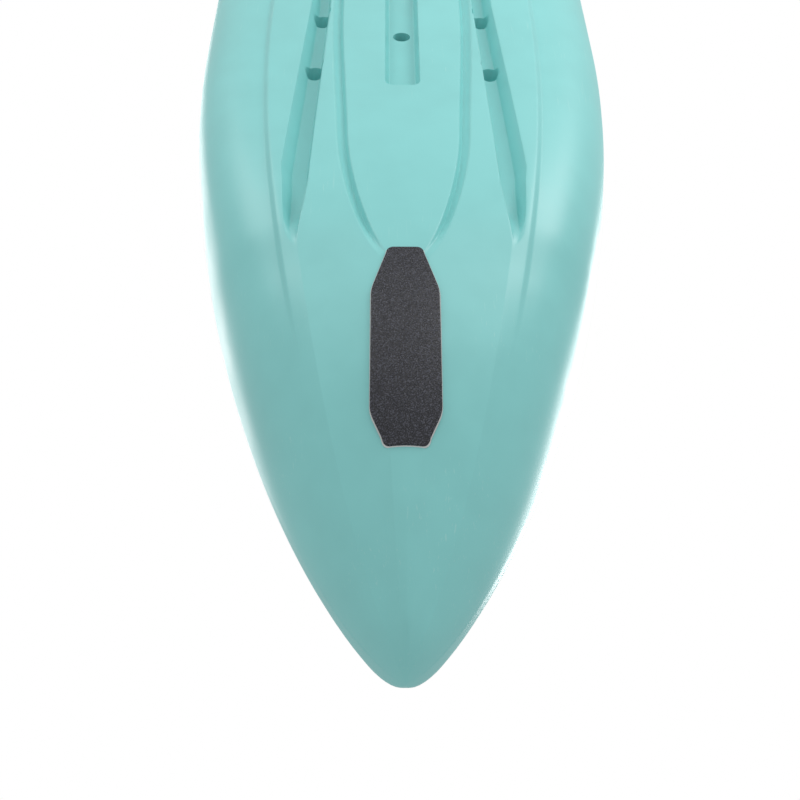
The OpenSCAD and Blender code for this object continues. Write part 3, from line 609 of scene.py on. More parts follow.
    @staticmethod
    def build_braid() -> bpy.types.NodeTree:
        """Crossing strands of a braided cord, from its own UV map."""
        tree, n, src, out = new_group("cord_braid", {"Vector": None, "Turns": 4.0, "Rows": 1.0}, ["Height", "Fleck"])
        parts = n.add("ShaderNodeSeparateXYZ", {0: src["Vector"]}).outputs
        round_ = n.math("MULTIPLY", parts[0], n.math("MULTIPLY", src["Turns"], 2 * math.pi))
        along = n.math("MULTIPLY", parts[1], n.math("MULTIPLY", src["Rows"], 2 * math.pi))
        left = n.math("SINE", n.math("ADD", round_, along))
        right = n.math("SINE", n.math("SUBTRACT", round_, along))
        tree.links.new(n.math("MAXIMUM", n.math("ABSOLUTE", left), n.math("ABSOLUTE", right)), out.inputs["Height"])
        tree.links.new(n.math("GREATER_THAN", n.math("MULTIPLY", left, right), 0.55), out.inputs["Fleck"])
        return tree


EFFECTS: dict[str, Effects] = {}


def effects() -> Effects:
    """The shared groups, built on first use."""
    if "all" not in EFFECTS:
        EFFECTS["all"] = Effects()
    return EFFECTS["all"]


@dataclass(frozen=True)
class Finish:
    """One finish, from which a material is made."""

    name: str
    colour: tuple[float, float, float]
    worn: tuple[float, float, float] = (0.5, 0.5, 0.5)
    rough: float = 0.45
    rough_change: float = 0.08
    metal: float = 0.0
    coat: float = 0.0
    sheen: float = 0.0
    mottle: float = 0.06
    mottle_scale: float = 3.0
    grain_fine: float = 900.0
    grain_peel: float = 60.0
    grain_share: float = 0.5
    grain_height: float = 0.00012
    grain_strength: float = 0.3
    scuffs: float = 0.0
    wear: float = 0.3
    wear_start: float = 0.53
    dust: float = 0.12
    specks: float = 0.0
    speck_scale: float = 420.0

    def start(self) -> tuple[bpy.types.Material, Nodes, bpy.types.Node, bpy.types.NodeSocket]:
        """An empty material with its shader, and the Object coordinates."""
        material = bpy.data.materials.new(self.name)
        material.use_nodes = True
        material.node_tree.nodes.clear()
        n = Nodes(material.node_tree)
        shader = n.add("ShaderNodeBsdfPrincipled", {"Roughness": self.rough, "Metallic": self.metal,
                                                    "Coat Weight": self.coat, "Sheen Weight": self.sheen})
        n.add("ShaderNodeOutputMaterial", {"Surface": shader.outputs[0]})
        return material, n, shader, n.add("ShaderNodeTexCoord").outputs["Object"]

    def surface(self, n: Nodes, where: bpy.types.NodeSocket) -> tuple[bpy.types.NodeSocket, bpy.types.NodeSocket]:
        """Colour and roughness of the plain surface with its wear and dust.

        Args:
            n: Adder of the material's nodes.
            where: Coordinates in metres.

        Returns:
            The colour and the roughness.
        """
        fx = effects()
        base = (*self.colour, 1.0)
        dark = (*(c * 0.55 for c in self.colour), 1.0)
        light = (*(min(1.0, c * 1.35 + 0.01) for c in self.colour), 1.0)
        mottle = n.add("ShaderNodeGroup", {}, node_tree=fx.mottle)
        n.tree.links.new(where, mottle.inputs["Vector"])
        mottle.inputs["Scale"].default_value = self.mottle_scale
        value = mottle.outputs[0]
        colour = n.mix(n.math("MULTIPLY", value, self.mottle, clamp=True), base, light)
        colour = n.mix(n.math("MULTIPLY", value, -self.mottle, clamp=True), colour, dark)
        rough = n.math("ADD", n.math("MULTIPLY", value, self.rough_change), self.rough)
        if self.specks:
            seed = n.noise(where, self.speck_scale, 2.0)
            spot = n.remap(seed, 0.5, 0.64, 0.0, self.specks)
            colour = n.mix(spot, colour, (*self.worn, 1.0))
        if self.scuffs:
            group = n.add("ShaderNodeGroup", {}, node_tree=fx.scuffs)
            n.tree.links.new(where, group.inputs["Vector"])
            group.inputs["Amount"].default_value = self.scuffs
            colour = n.mix(group.outputs[0], colour, (*self.worn, 1.0))
            rough = n.math("ADD", rough, n.math("MULTIPLY", group.outputs[0], 0.2))
        if self.wear:
            group = n.add("ShaderNodeGroup", {}, node_tree=fx.edges)
            n.tree.links.new(where, group.inputs["Vector"])
            group.inputs["Amount"].default_value = self.wear
            group.inputs["Start"].default_value = self.wear_start
            colour = n.mix(group.outputs[0], colour, (*self.worn, 1.0))
            rough = n.math("ADD", rough, n.math("MULTIPLY", group.outputs[0], 0.15))
        if self.dust:
            group = n.add("ShaderNodeGroup", {}, node_tree=fx.dust)
            n.tree.links.new(where, group.inputs["Vector"])
            group.inputs["Amount"].default_value = self.dust
            colour = n.mix(group.outputs[0], colour, (0.62, 0.6, 0.55, 1.0))
            rough = n.math("ADD", rough, n.math("MULTIPLY", group.outputs[0], 0.4), clamp=True)
        return colour, rough

    def relief(self, n: Nodes, where: bpy.types.NodeSocket) -> bpy.types.NodeSocket:
        """The bump of the moulded grain, as a normal."""
        group = n.add("ShaderNodeGroup", {}, node_tree=effects().grain)
        n.tree.links.new(where, group.inputs["Vector"])
        group.inputs["Fine"].default_value = self.grain_fine
        group.inputs["Peel"].default_value = self.grain_peel
        group.inputs["Share"].default_value = self.grain_share
        bump = n.add("ShaderNodeBump", {"Strength": self.grain_strength, "Distance": self.grain_height,
                                        "Height": group.outputs[0]})
        return bump.outputs[0]

    def make(self) -> bpy.types.Material:
        """The finished material."""
        material, n, shader, where = self.start()
        colour, rough = self.surface(n, where)
        n.tree.links.new(colour, shader.inputs["Base Color"])
        n.tree.links.new(rough, shader.inputs["Roughness"])
        n.tree.links.new(self.relief(n, where), shader.inputs["Normal"])
        return material


@dataclass(frozen=True)
class Woven(Finish):
    """A woven cover with an open, slightly shiny thread."""

    threads: float = 700.0

    def make(self) -> bpy.types.Material:
        """The finished material."""
        material, n, shader, where = self.start()
        colour, rough = self.surface(n, where)
        group = n.add("ShaderNodeGroup", {}, node_tree=effects().weave)
        n.tree.links.new(where, group.inputs["Vector"])
        group.inputs["Threads"].default_value = self.threads
        colour = n.mix(n.math("MULTIPLY", group.outputs["Gap"], 0.75), colour, (0.006, 0.006, 0.007, 1.0))
        n.tree.links.new(colour, shader.inputs["Base Color"])
        n.tree.links.new(rough, shader.inputs["Roughness"])
        bump = n.add("ShaderNodeBump", {"Strength": 0.6, "Distance": 0.0006, "Height": group.outputs["Height"]})
        n.tree.links.new(bump.outputs[0], shader.inputs["Normal"])
        return material


@dataclass(frozen=True)
class Braided(Finish):
    """A braided cord with a light tracer thread."""

    fleck: tuple[float, float, float] = (0.55, 0.55, 0.52)

    def make(self) -> bpy.types.Material:
        """The finished material."""
        material, n, shader, where = self.start()
        colour, rough = self.surface(n, where)
        uv = n.add("ShaderNodeUVMap", uv_map="braid").outputs[0]
        group = n.add("ShaderNodeGroup", {}, node_tree=effects().braid)
        n.tree.links.new(uv, group.inputs["Vector"])
        colour = n.mix(n.math("MULTIPLY", group.outputs["Fleck"], 0.45), colour, (*self.fleck, 1.0))
        n.tree.links.new(colour, shader.inputs["Base Color"])
        n.tree.links.new(rough, shader.inputs["Roughness"])
        bump = n.add("ShaderNodeBump", {"Strength": 0.8, "Distance": 0.0004, "Height": group.outputs["Height"]})
        n.tree.links.new(bump.outputs[0], shader.inputs["Normal"])
        return material


class Palette:
    """Every material of the kayak, by the record's slots."""

    TEAL = (0.232, 0.612, 0.60)
    FINISHES = {
        "hull_plastic": Finish("hull_plastic", TEAL, worn=(0.42, 0.72, 0.69), rough=0.36, rough_change=0.05, mottle=0.10,
                               mottle_scale=1.6, grain_fine=620, grain_peel=70, grain_share=0.45, grain_height=0.0003,
                               grain_strength=0.22, scuffs=0.30, wear=0.22, wear_start=0.56, dust=0.0),
        "guard_plastic": Finish("guard_plastic", (0.006, 0.007, 0.012), worn=(0.15, 0.16, 0.21), rough=0.25,
                                rough_change=0.05, mottle=0.5, mottle_scale=160, grain_fine=900, grain_peel=420,
                                grain_share=0.5, grain_height=0.0008, grain_strength=0.8, scuffs=0.12, wear=0.4,
                                dust=0.0, specks=0.34),
        "adhesive_film": Finish("adhesive_film", (0.62, 0.66, 0.65), rough=0.35, wear=0.0, dust=0.0),
        "fitting_plastic": Finish("fitting_plastic", (0.016, 0.016, 0.018), worn=(0.09, 0.09, 0.095), rough=0.46,
                                  grain_fine=1600, grain_height=0.0002, grain_strength=0.4, mottle=0.2, scuffs=0.2, wear=0.4),
        "lever_plastic": Finish("lever_plastic", (0.035, 0.036, 0.04), worn=(0.16, 0.16, 0.17), rough=0.38,
                                grain_fine=1900, mottle=0.15, scuffs=0.3, wear=0.5),
        "seal_rubber": Finish("seal_rubber", (0.02, 0.02, 0.021), rough=0.7, mottle=0.2, wear=0.15, dust=0.2),
        "stainless": Finish("stainless", (0.62, 0.61, 0.59), worn=(0.75, 0.75, 0.74), rough=0.26, rough_change=0.08,
                            metal=1.0, mottle=0.08, grain_fine=2200, grain_height=0.00005, scuffs=0.3, wear=0.3, dust=0.05),
        "alloy": Finish("alloy", (0.56, 0.57, 0.58), worn=(0.8, 0.8, 0.8), rough=0.4, rough_change=0.06, metal=1.0,
                        mottle=0.1, grain_fine=2600, grain_height=0.00006, scuffs=0.35, wear=0.5, dust=0.08),
        "dark_alloy": Finish("dark_alloy", (0.045, 0.046, 0.05), worn=(0.5, 0.5, 0.5), rough=0.42, metal=0.85,
                             mottle=0.15, grain_fine=2600, grain_height=0.00005, scuffs=0.4, wear=0.6, dust=0.08),
        "seat_mesh": Woven("seat_mesh", (0.028, 0.032, 0.036), worn=(0.1, 0.1, 0.11), rough=0.8, sheen=0.25, mottle=0.25,
                           mottle_scale=14, wear=0.1, dust=0.1),
        "grip_rubber": Finish("grip_rubber", (0.022, 0.022, 0.024), worn=(0.1, 0.1, 0.1), rough=0.66, mottle=0.25,
                              grain_fine=1200, grain_height=0.0003, grain_strength=0.5, wear=0.35, dust=0.15),
        "bungee_cord": Braided("bungee_cord", (0.02, 0.02, 0.022), rough=0.75, sheen=0.2, mottle=0.15, wear=0.0, dust=0.05),
        "buoyancy_foam": Finish("buoyancy_foam", (0.72, 0.72, 0.7), worn=(0.6, 0.6, 0.58), rough=0.85, mottle=0.12,
                                mottle_scale=40, grain_fine=260, grain_peel=120, grain_height=0.0012, grain_strength=0.6,
                                wear=0.1, dust=0.0),
        "webbing": Woven("webbing", (0.018, 0.018, 0.02), worn=(0.08, 0.08, 0.08), rough=0.7, sheen=0.15, threads=520,
                         mottle=0.2, wear=0.1),
    }

    def __init__(self) -> None:
        """Starts with nothing made."""
        self.made: dict[str, bpy.types.Material] = {}

    def get(self, slot: str) -> bpy.types.Material:
        """The material of a slot, made on first use."""
        if slot not in self.made:
            self.made[slot] = self.FINISHES[slot].make()
        return self.made[slot]


# ---- the moulding ----------------------------------------------------------------------------


@dataclass
class Moulding:
    """The one-piece moulded hull with its wells, pockets, scuppers and centre slot."""

    lines: HullLines = field(default_factory=HullLines)
    fine: float = 9
    coarse: float = 19
    cockpit: tuple[float, float, float] = (-430, 740, 290)
    platform: float = 150
    footwell: tuple[float, float, float, float] = (60, 720, 62, 284)
    footwell_floor: float = 85
    tank: tuple[float, float, float, float] = (-1450, -660, 150, 265)
    hatch: tuple[float, float, float, float] = (900, 1270, 130, 80)
    hatch_floor: float = 300
    day: tuple[float, float] = (-545, 68)
    day_flat: float = 306
    flat: float = 300
    rod: tuple[float, float, float, float] = (-560, 292, 21, 20)
    track: tuple[float, float, float, float] = (110, 500, 328, 17)
    side_handle: tuple[float, float] = (-240, 318)
    bow_handle: tuple[float, float] = (1530, 363.187)
    stern_handle: tuple[float, float] = (-1600, 347.281)
    drain: tuple[float, float, float] = (-1490, 13, 342.888)
    slot_box: tuple[float, float, float, float] = (-400, 718, 33, 26)
    bore: float = 17.5
    scuppers: tuple[tuple[float, float, float], ...] = (
        (630, 173.5, 85), (419, 165.3, 85), (-250, 164, 150), (-900, 183.9, 150),
        (630, -173.5, 85), (419, -165.3, 85), (-250, -164, 150), (-900, -183.9, 150), (486, 0, 150))

    def skin(self) -> bmesh.types.BMesh:
        """The plain closed outside of the hull."""
        return loft([self.lines.section(x) for x in self.lines.stations(self.fine, self.coarse)])

    def pocket(self, outline: Outline, floor: float, flare: float, fillet: float,
               rim: Callable[[float, float], float] | None = None, draft: float = 0.0) -> bmesh.types.BMesh:
        """A cutter for a recess with a rolled rim and a rounded floor.

        Args:
            outline: The recess at the foot of its rim.
            floor: Height of the floor.
            flare: Radius of the rolled rim.
            fillet: Radius between wall and floor.
            rim: Height of the surface cut into, or None for the deck.
            draft: How far the wall leans in between the rim and the floor.

        Returns:
            The cutter.
        """
        rim = rim or self.lines.deck
        rings: list[Ring] = []

        def ring(offset: float, height: Callable[[Vector], float]) -> None:
            """Adds one ring."""
            pts = [p + nv * offset for p, nv in outline]
            rings.append([Vector((p.x, p.y, height(p))) for p in pts])

        ring(flare * 0.95, lambda p: rim(p.x, p.y) + 90)
        ring(flare * 0.95, lambda p: rim(p.x, p.y) + flare * 0.03)
        for deg in (75, 52, 30, 12):
            a = math.radians(deg)
            ring(flare * (1 - math.cos(a)), lambda p, a=a: rim(p.x, p.y) - flare * (1 - math.sin(a)))
        ring(0, lambda p: rim(p.x, p.y) - flare)
        for deg in (0, 22, 45, 68, 90):
            a = math.radians(deg)
            ring(-draft - fillet * (1 - math.cos(a)), lambda p, a=a: floor + fillet * (1 - math.sin(a)))
        return loft(rings)

    def mouth(self, x: float, y: float, floor: float) -> bmesh.types.BMesh:
        """A cutter for a scupper: its bottom mouth is drawn out lengthwise, its top mouth is rolled."""
        low = self.lines.bottom(x, y) + self.lines.lift(x, abs(y))
        outline = circle(x, y, self.bore, 32)
        rings = []
        for dx, dy, z in ((7.5, 1, low - 40), (7.5, 1, low - 2), (6.3, 0.7, low + 3), (4, 0.3, low + 10), (1.5, 0, low + 20),
                          (0, 0, low + 30), (0, 0, floor - 6), (1.3, 1.3, floor - 2.6), (3.2, 3.2, floor - 0.8),
                          (5.2, 5.2, floor + 0.2), (5.2, 5.2, floor + 30)):
            rings.append([Vector((p.x + nv.x * dx, p.y + nv.y * dy, z)) for p, nv in outline])
        return loft(rings)

    def slot(self) -> bmesh.types.BMesh:
        """A cutter for the centre slot in the bottom, with drafted walls."""
        x0, x1, half, depth = self.slot_box
        outline = rectangle(x0, x1, -half, half, 16, 26)
        bottom = self.lines.keel
        rings = []
        for offset, z in ((2.2, -60), (2.2, -0.1), (1.2, 0.4), (0.4, 1.4), (0, 2.8)):
            rings.append([Vector((p.x + nv.x * offset, p.y + nv.y * offset, bottom(p.x) + z)) for p, nv in outline])
        for offset, z in ((-4.2, depth - 8), (-5.2, depth - 4.2), (-7, depth - 1.4), (-10, depth)):
            rings.append([Vector((p.x + nv.x * offset, p.y + nv.y * offset, z)) for p, nv in outline])
        return loft(rings)

    def hold(self, x0: float, x1: float, top: float, widest: float) -> bmesh.types.BMesh:
        """A cutter for the space inside the shell between two stations.

        Args:
            x0: Aft end.
            x1: Fore end.
            top: Highest point.
            widest: Furthest it reaches from the centreline.

        Returns:
            The cutter.
        """
        rings, wall, count = [], 8.0, 14
        for i in range(count + 1):
            x = x0 + (x1 - x0) * i / count
            ring = []
            b = self.lines.half_beam(x)
            for p in self.lines.section(x):
                y = max(-widest, min(widest, p.y * (b - wall) / b))
                z = min(top, p.z + wall if p.z < self.lines.sheer(x) else p.z - wall)
                ring.append(Vector((x, y, max(z, self.lines.bottom(x, 0) + wall + 32))))
            rings.append(ring)
        return loft(rings)

    def tube(self, x: float, y: float, z0: float, z1: float, radius: float) -> bmesh.types.BMesh:
        """A cutter for an upright bore."""
        return loft([[Vector((p.x, p.y, z)) for p, _ in circle(x, y, radius)] for z in (z0, z1)])

    def cutters(self) -> list[bmesh.types.BMesh]:
        """Every cutter that shapes the moulding."""
        x0, x1, half = self.cockpit
        cuts = [self.pocket(rectangle(x0, x1, -half, half, 90), self.platform, 9, 12)]
        fx0, fx1, fy0, fy1 = self.footwell
        for s in (1, -1):
            low, high = sorted((s * fy0, s * fy1))
            cuts.append(self.pocket(rectangle(fx0, fx1, low, high, 50), self.footwell_floor, 5, 11,
                                    lambda x, y: self.platform))
        tx0, tx1, slim, wide = self.tank
        cuts.append(self.pocket(rounded_outline([(tx0, -slim), (tx1, -wide), (tx1, wide), (tx0, slim)], 60), self.platform, 9, 12))
        hx0, hx1, hw, hs = self.hatch
        corners = [(hx0, -hw), (hx1, -hs), (hx1, hs), (hx0, hw)]

        def grown(by: float) -> Outline:
            """The hatch outline, grown outwards."""
            return [(p + nv * by, nv) for p, nv in rounded_outline(corners, 40)]

        cuts.append(self.pocket(grown(62), self.hatch_floor, 7, 8))
        cuts.append(loft([[Vector((p.x, p.y, z)) for p, _ in grown(3)] for z in (255, 330)]))
        cuts.append(self.hold(790, 1420, self.hatch_floor - 5, 400))
        dx, dr = self.day
        cuts.append(self.pocket(circle(dx, 0, dr + 30, 56), self.day_flat, 4, 3))
        cuts.append(self.tube(dx, 0, 250, 330, dr + 3))
        cuts.append(self.hold(-638, -452, self.day_flat - 6, 190))
        rx, ry, rr, lean = self.rod
        for s in (1, -1):
            cuts.append(self.pocket(circle(rx, s * ry, rr + 22, 48), self.flat, 4, 2.5))
            bore = self.tube(0, 0, -60, 205, rr + 3.6)
            turn = Matrix.Translation((rx, s * ry, self.flat)) @ Matrix.Rotation(math.radians(180 - lean), 4, "Y")
            bmesh.ops.transform(bore, matrix=turn, verts=bore.verts)
            cuts.append(bore)
            ta, tb, ty, th = self.track
            y0, y1 = sorted((s * (ty - th - 2), s * (ty + th + 2)))
            cuts.append(self.pocket(rectangle(ta - 4, tb + 4, y0, y1, 5), self.flat, 3, 2))
            sx, sy = self.side_handle
            y0, y1 = sorted((s * (sy - 16), s * (sy + 38)))
            cuts.append(self.pocket(rectangle(sx - 94, sx + 94, y0, y1, 8), self.flat, 4, 4))
        bx, bz = self.bow_handle
        cuts.append(self.pocket(rectangle(bx - 74, bx + 26, -94, 94, 12), bz, 4, 5))
        sx, sz = self.stern_handle
        cuts.append(self.pocket(rectangle(sx - 26, sx + 62, -94, 94, 12), sz, 4, 5))
        wx, wr, wz = self.drain
        cuts.append(self.pocket(circle(wx, 0, wr + 13, 40), wz, 3, 2.5))
        cuts.append(self.tube(wx, 0, wz - 60, wz + 20, wr))
        cuts.append(self.slot())
        cuts += [self.mouth(x, y, floor) for x, y, floor in self.scuppers]
        return cuts

    def build(self, palette: Palette) -> bpy.types.Object:
        """Cuts the skin and dresses it.

        Args:
            palette: The materials.

        Returns:
            The hull.
        """
        obj = to_object(self.skin(), "hull_moulding", sharp=180)
        bin_ = bpy.data.collections.new("cutters")
        bpy.context.scene.collection.children.link(bin_)
        for i, bm in enumerate(self.cutters()):
            cutter = to_object(bm, f"cutter_{i}", sharp=180)
            bpy.context.scene.collection.objects.unlink(cutter)
            bin_.objects.link(cutter)
        cut = obj.modifiers.new("cuts", "BOOLEAN")
        cut.operation, cut.operand_type, cut.collection, cut.solver = "DIFFERENCE", "COLLECTION", bin_, "MANIFOLD"
        bake_modifiers(obj)
        for cutter in list(bin_.objects):
            bpy.data.meshes.remove(cutter.data)
        bpy.data.collections.remove(bin_)
        bm = bmesh.new()
        bm.from_mesh(obj.data)
        bmesh.ops.remove_doubles(bm, verts=bm.verts, dist=0.00005)
        bmesh.ops.dissolve_degenerate(bm, edges=bm.edges, dist=0.00005)
        for f in bm.faces:
            f.smooth = True
        for e in bm.edges:
            e.smooth = not (e.is_manifold and e.calc_face_angle(0) > math.radians(32))
        bm.to_mesh(obj.data)
        bm.free()
        tidy = obj.modifiers.new("soft_light", "WEIGHTED_NORMAL")
        tidy.keep_sharp, tidy.weight = True, 60
        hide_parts("hull")
        return dress(obj, Body.BOAT, palette.get("hull_plastic"))


# ---- keel guard ------------------------------------------------------------------------------


@dataclass
class KeelGuard:
    """The plate glued over the forefoot, and the film under it."""

    lines: HullLines = field(default_factory=HullLines)
    front: float = 270
    length: float = 357
    half: float = 56
    plate: float = 3.2
    film: float = 0.9
    shoulders: tuple[float, float] = (0.13, 0.24)
    ends: tuple[float, float] = (0.63, 0.54)

    def width(self, t: float) -> float:
        """Half width at a share of the length, with its corners rounded off."""
        def sharp(v: float) -> float:
            """Half width with sharp shoulders."""
            v = clip(v)
            a, b = self.shoulders
            if v < a:
                return self.ends[0] + (1 - self.ends[0]) * v / a
            if v > 1 - b:
                return self.ends[1] + (1 - self.ends[1]) * (1 - v) / b
            return 1.0
        return self.half * sum(sharp(t + d) for d in (-0.024, -0.012, 0, 0.012, 0.024)) / 5

    def point(self, x: float, y: float, out: float) -> Vector:
        """A point at a distance outside the hull's skin."""
        a = abs(y)
        low = max(0.0, a - 1)
        slope = 0.0 if a < 1 else (self.lines.bottom(x, a + 1) - self.lines.bottom(x, low)) / (a + 1 - low)
        n = math.sqrt(1 + slope * slope)
        return Vector((x, y + math.copysign(out * slope / n, y), self.lines.bottom(x, a) - out / n))

    def sheet(self, near: float, far: float, margin: float, lip: float) -> bmesh.types.BMesh:
        """A sheet that follows the keel, with a rounded outer edge.

        Args:
            near: Distance of its inner face from the skin.
            far: Distance of its outer face from the skin.
            margin: How much further it reaches than the plate.
            lip: Radius of its outer edge.

        Returns:
            The closed sheet.
        """
        rows, cols, corner = 150, 64, 12.0
        bm = bmesh.new()
        bmesh.ops.create_grid(bm, x_segments=cols, y_segments=rows, size=1)
        places = {}
        for v in bm.verts:
            j, t = v.co.x, (v.co.y + 1) / 2
            spread = math.copysign(1 - (1 - abs(j)) ** 1.5, j)
            t = 0.5 - 0.5 * math.cos(math.pi * (0.5 - 0.5 * math.cos(math.pi * t)))
            half = self.width(t) + margin
            y = half * spread
            edge_y = half - abs(y)
            inset = corner - math.sqrt(max(0.0, corner**2 - max(0.0, corner - edge_y) ** 2))
            long = self.length + 2 * margin
            along = inset + (long - 2 * inset) * t
            x = self.lines.half_len - self.front + margin - along
            gap = min(edge_y, along - inset, long - inset - along)
            drop = lip - math.sqrt(max(0.0, lip**2 - max(0.0, lip - gap) ** 2))
            places[v] = (x, y, drop)
        faces = bm.faces[:]
        made = bmesh.ops.extrude_face_region(bm, geom=faces)
        top = [v for v in made["geom"] if isinstance(v, bmesh.types.BMVert)]
        twin = {tuple(round(c, 6) for c in v.co): v for v in top}
        for v, (x, y, drop) in list(places.items()):
            other = twin[tuple(round(c, 6) for c in v.co)]
            other.co = self.point(x, y, far - drop)
            v.co = self.point(x, y, near)
        bmesh.ops.remove_doubles(bm, verts=bm.verts, dist=0.002)
        bmesh.ops.recalc_face_normals(bm, faces=bm.faces)
        return bm

    def build(self, palette: Palette) -> None:
        """Makes the plate and its film."""
        plate = to_object(self.sheet(self.film, self.film + self.plate, 0, 1.4), "guard_plate")
        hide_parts("keel_guard")
        dress(plate, Body.BOAT, palette.get("guard_plastic"))
        film = to_object(self.sheet(-0.8, self.film, 1.3, 0.4), "guard_film")
        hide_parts("guard_adhesive")
        dress(film, Body.BOAT, palette.get("adhesive_film"))


# ---- hard fittings ---------------------------------------------------------------------------


@dataclass(frozen=True)
class Fitting:
    """A hard fitting that keeps its form and gets moulded or machined edges."""

    node: str
    body: Body
    edge: float
    segments: int = 3
    angle: float = 40


class Fittings:
    """Every hard fitting of the kayak, with its edges broken."""

    ALL = (
        Fitting("hatch_rim", Body.BOAT, 1.0), Fitting("hatch_gasket", Body.BOAT, 0.8),
        Fitting("hatch_lid", Body.HATCH, 1.4), Fitting("hatch_latch_left", Body.LATCH_LEFT, 1.0),
        Fitting("hatch_latch_right", Body.LATCH_RIGHT, 1.0), Fitting("hatch_hinge_pin", Body.BOAT, 0.6),
        Fitting("latch_pins", Body.HATCH, 0.4), Fitting("day_hatch_ring", Body.BOAT, 0.8),
        Fitting("day_hatch_lid", Body.DAY_COVER, 1.2), Fitting("seat_rails", Body.BOAT, 1.0),
        Fitting("seat_feet", Body.SEAT, 1.6), Fitting("seat_base_frame", Body.SEAT, 0.8),
        Fitting("seat_back_frame", Body.SEAT_BACK, 0.8), Fitting("seat_hinge_pins", Body.SEAT, 0.6),
        Fitting("foot_rail_left", Body.BOAT, 0.8), Fitting("foot_rail_right", Body.BOAT, 0.8),
        Fitting("pedal_left", Body.BRACE_LEFT, 1.2), Fitting("pedal_right", Body.BRACE_RIGHT, 1.2),
        Fitting("rod_holder_left", Body.BOAT, 0.9), Fitting("rod_holder_right", Body.BOAT, 0.9),
        Fitting("gear_track_left", Body.BOAT, 0.4), Fitting("gear_track_right", Body.BOAT, 0.4),
        Fitting("handle_mounts", Body.BOAT, 0.9), Fitting("bow_handle", Body.HANDLE_BOW, 1.2),
        Fitting("stern_handle", Body.HANDLE_STERN, 1.2), Fitting("left_handle", Body.HANDLE_LEFT, 1.2),
        Fitting("right_handle", Body.HANDLE_RIGHT, 1.2), Fitting("drain_seat", Body.BOAT, 0.6),
        Fitting("drain_plug", Body.DRAIN, 0.9), Fitting("bungee_eyes", Body.BOAT, 0.6),
        Fitting("foam_bow", Body.BOAT, 6.0), Fitting("foam_stern", Body.BOAT, 6.0),
    )

    def __init__(self, frame: dict, palette: Palette) -> None:
        """Keeps the frame and the materials."""
        self.frame, self.palette = frame, palette

    def refine(self, item: Fitting) -> bpy.types.Object:
        """Copies a node, breaks its edges and lets the copy stand for it.

        Args:
            item: The fitting.

        Returns:
            The new piece.
        """
        node = self.frame["nodes"][item.node]
        slot = node.material_slots[0].material.name.split(".")[0]
        bm = bmesh.new()
        bm.from_mesh(node.data)
        bmesh.ops.remove_doubles(bm, verts=bm.verts, dist=0.00001)
        bmesh.ops.dissolve_degenerate(bm, edges=bm.edges, dist=0.00001)
        bmesh.ops.dissolve_limit(bm, angle_limit=math.radians(0.6), verts=bm.verts, edges=bm.edges)
        obj = to_object(bm, item.node + "_made", unit=1.0, sharp=item.angle)
        edge = obj.modifiers.new("broken_edges", "BEVEL")
        edge.width, edge.segments, edge.profile = item.edge * MM, item.segments, 0.5
        edge.limit_method, edge.angle_limit = "ANGLE", math.radians(item.angle)
        edge.use_clamp_overlap, edge.harden_normals = True, False
        soft = obj.modifiers.new("soft_light", "WEIGHTED_NORMAL")
        soft.keep_sharp = False
        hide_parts(item.node)
        return dress(obj, item.body, self.palette.get(slot))

    def build(self) -> None:
        """Refines every fitting."""
        for item in self.ALL:
            self.refine(item)


@dataclass
class Grip:
    """The ribbed rubber sleeve on a carry handle."""

    name: str
    body: Body
    centre: tuple[float, float, float]
    along_x: bool
    half: float = 56
    bar: float = 11
    skin: float = 1.4
    ribs: int = 14

    def build(self, palette: Palette) -> None:
        """Lofts the sleeve from its ribs and places it."""
        steps, rings = self.ribs * 6, []
        for i in range(steps + 1):
            t = i / steps
            swell = self.skin * (0.55 + 0.45 * abs(math.sin(math.pi * t * self.ribs)) ** 0.6)
            end = min(1.0, min(t, 1 - t) * 30)
            r = self.bar + 0.05 + swell * math.sqrt(end * (2 - end))
            at = self.half * (2 * t - 1)
            ring = []
            for k in range(32):
                a = 2 * math.pi * k / 32
                p = Vector((r * math.cos(a), at, r * math.sin(a)))
                if self.along_x:
                    p = Vector((at, r * math.cos(a), r * math.sin(a)))
                ring.append(p + Vector(self.centre))
            rings.append(ring)
        sleeve = to_object(loft(rings), self.name, sharp=60)
        dress(sleeve, self.body, palette.get("grip_rubber"))


@dataclass
class Screws:
    """Pan-head screws with a cross recess."""

    head: float = 4.5
    height: float = 2.5

    def screw(self, x: float, y: float, z: float, turn: float) -> bmesh.types.BMesh:
        """One screw whose head stands on a height.

        Args:
            x: Place along the hull.
            y: Place across the hull.
            z: Height that the head stands on.
            turn: Angle of its cross.

        Returns:
            The closed screw.
        """
        count = 24
        shape = ((0.46, -13.5, 0), (0.46, 0, 0), (1.0, 0, 0), (1.0, 0.5, 0), (0.93, 1.4, 0), (0.78, 2.1, 0),
                 (0.66, 2.4, 0), (0.6, 2.42, 1), (0.5, 1.2, 1), (0.12, 1.0, 1))
        rings = []
        for r, h, cross in shape:
            ring = []
            for k in range(count):
                a = 2 * math.pi * k / count
                arm = abs(math.cos(2 * a)) ** 2.5 if cross else 1.0
                reach = self.head * r * (0.3 + 0.7 * arm if cross else 1.0)
                ring.append(Vector((x + reach * math.cos(a + turn), y + reach * math.sin(a + turn), z + h)))
            rings.append(ring)
        return loft(rings)

    def build(self, places: Sequence[tuple[float, float, float]], palette: Palette) -> None:
        """Makes every screw as one piece.

        Args:
            places: Where each head stands.
            palette: The materials.
        """
        whole = bmesh.new()
        for i, (x, y, z) in enumerate(places):
            one = self.screw(x, y, z, 0.7 * i)
            mesh = bpy.data.meshes.new("screw")
            one.to_mesh(mesh)
            one.free()
            whole.from_mesh(mesh)
            bpy.data.meshes.remove(mesh)
        obj = to_object(whole, "screws_made", sharp=35)
        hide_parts("deck_screws")
        dress(obj, Body.BOAT, palette.get("stainless"))


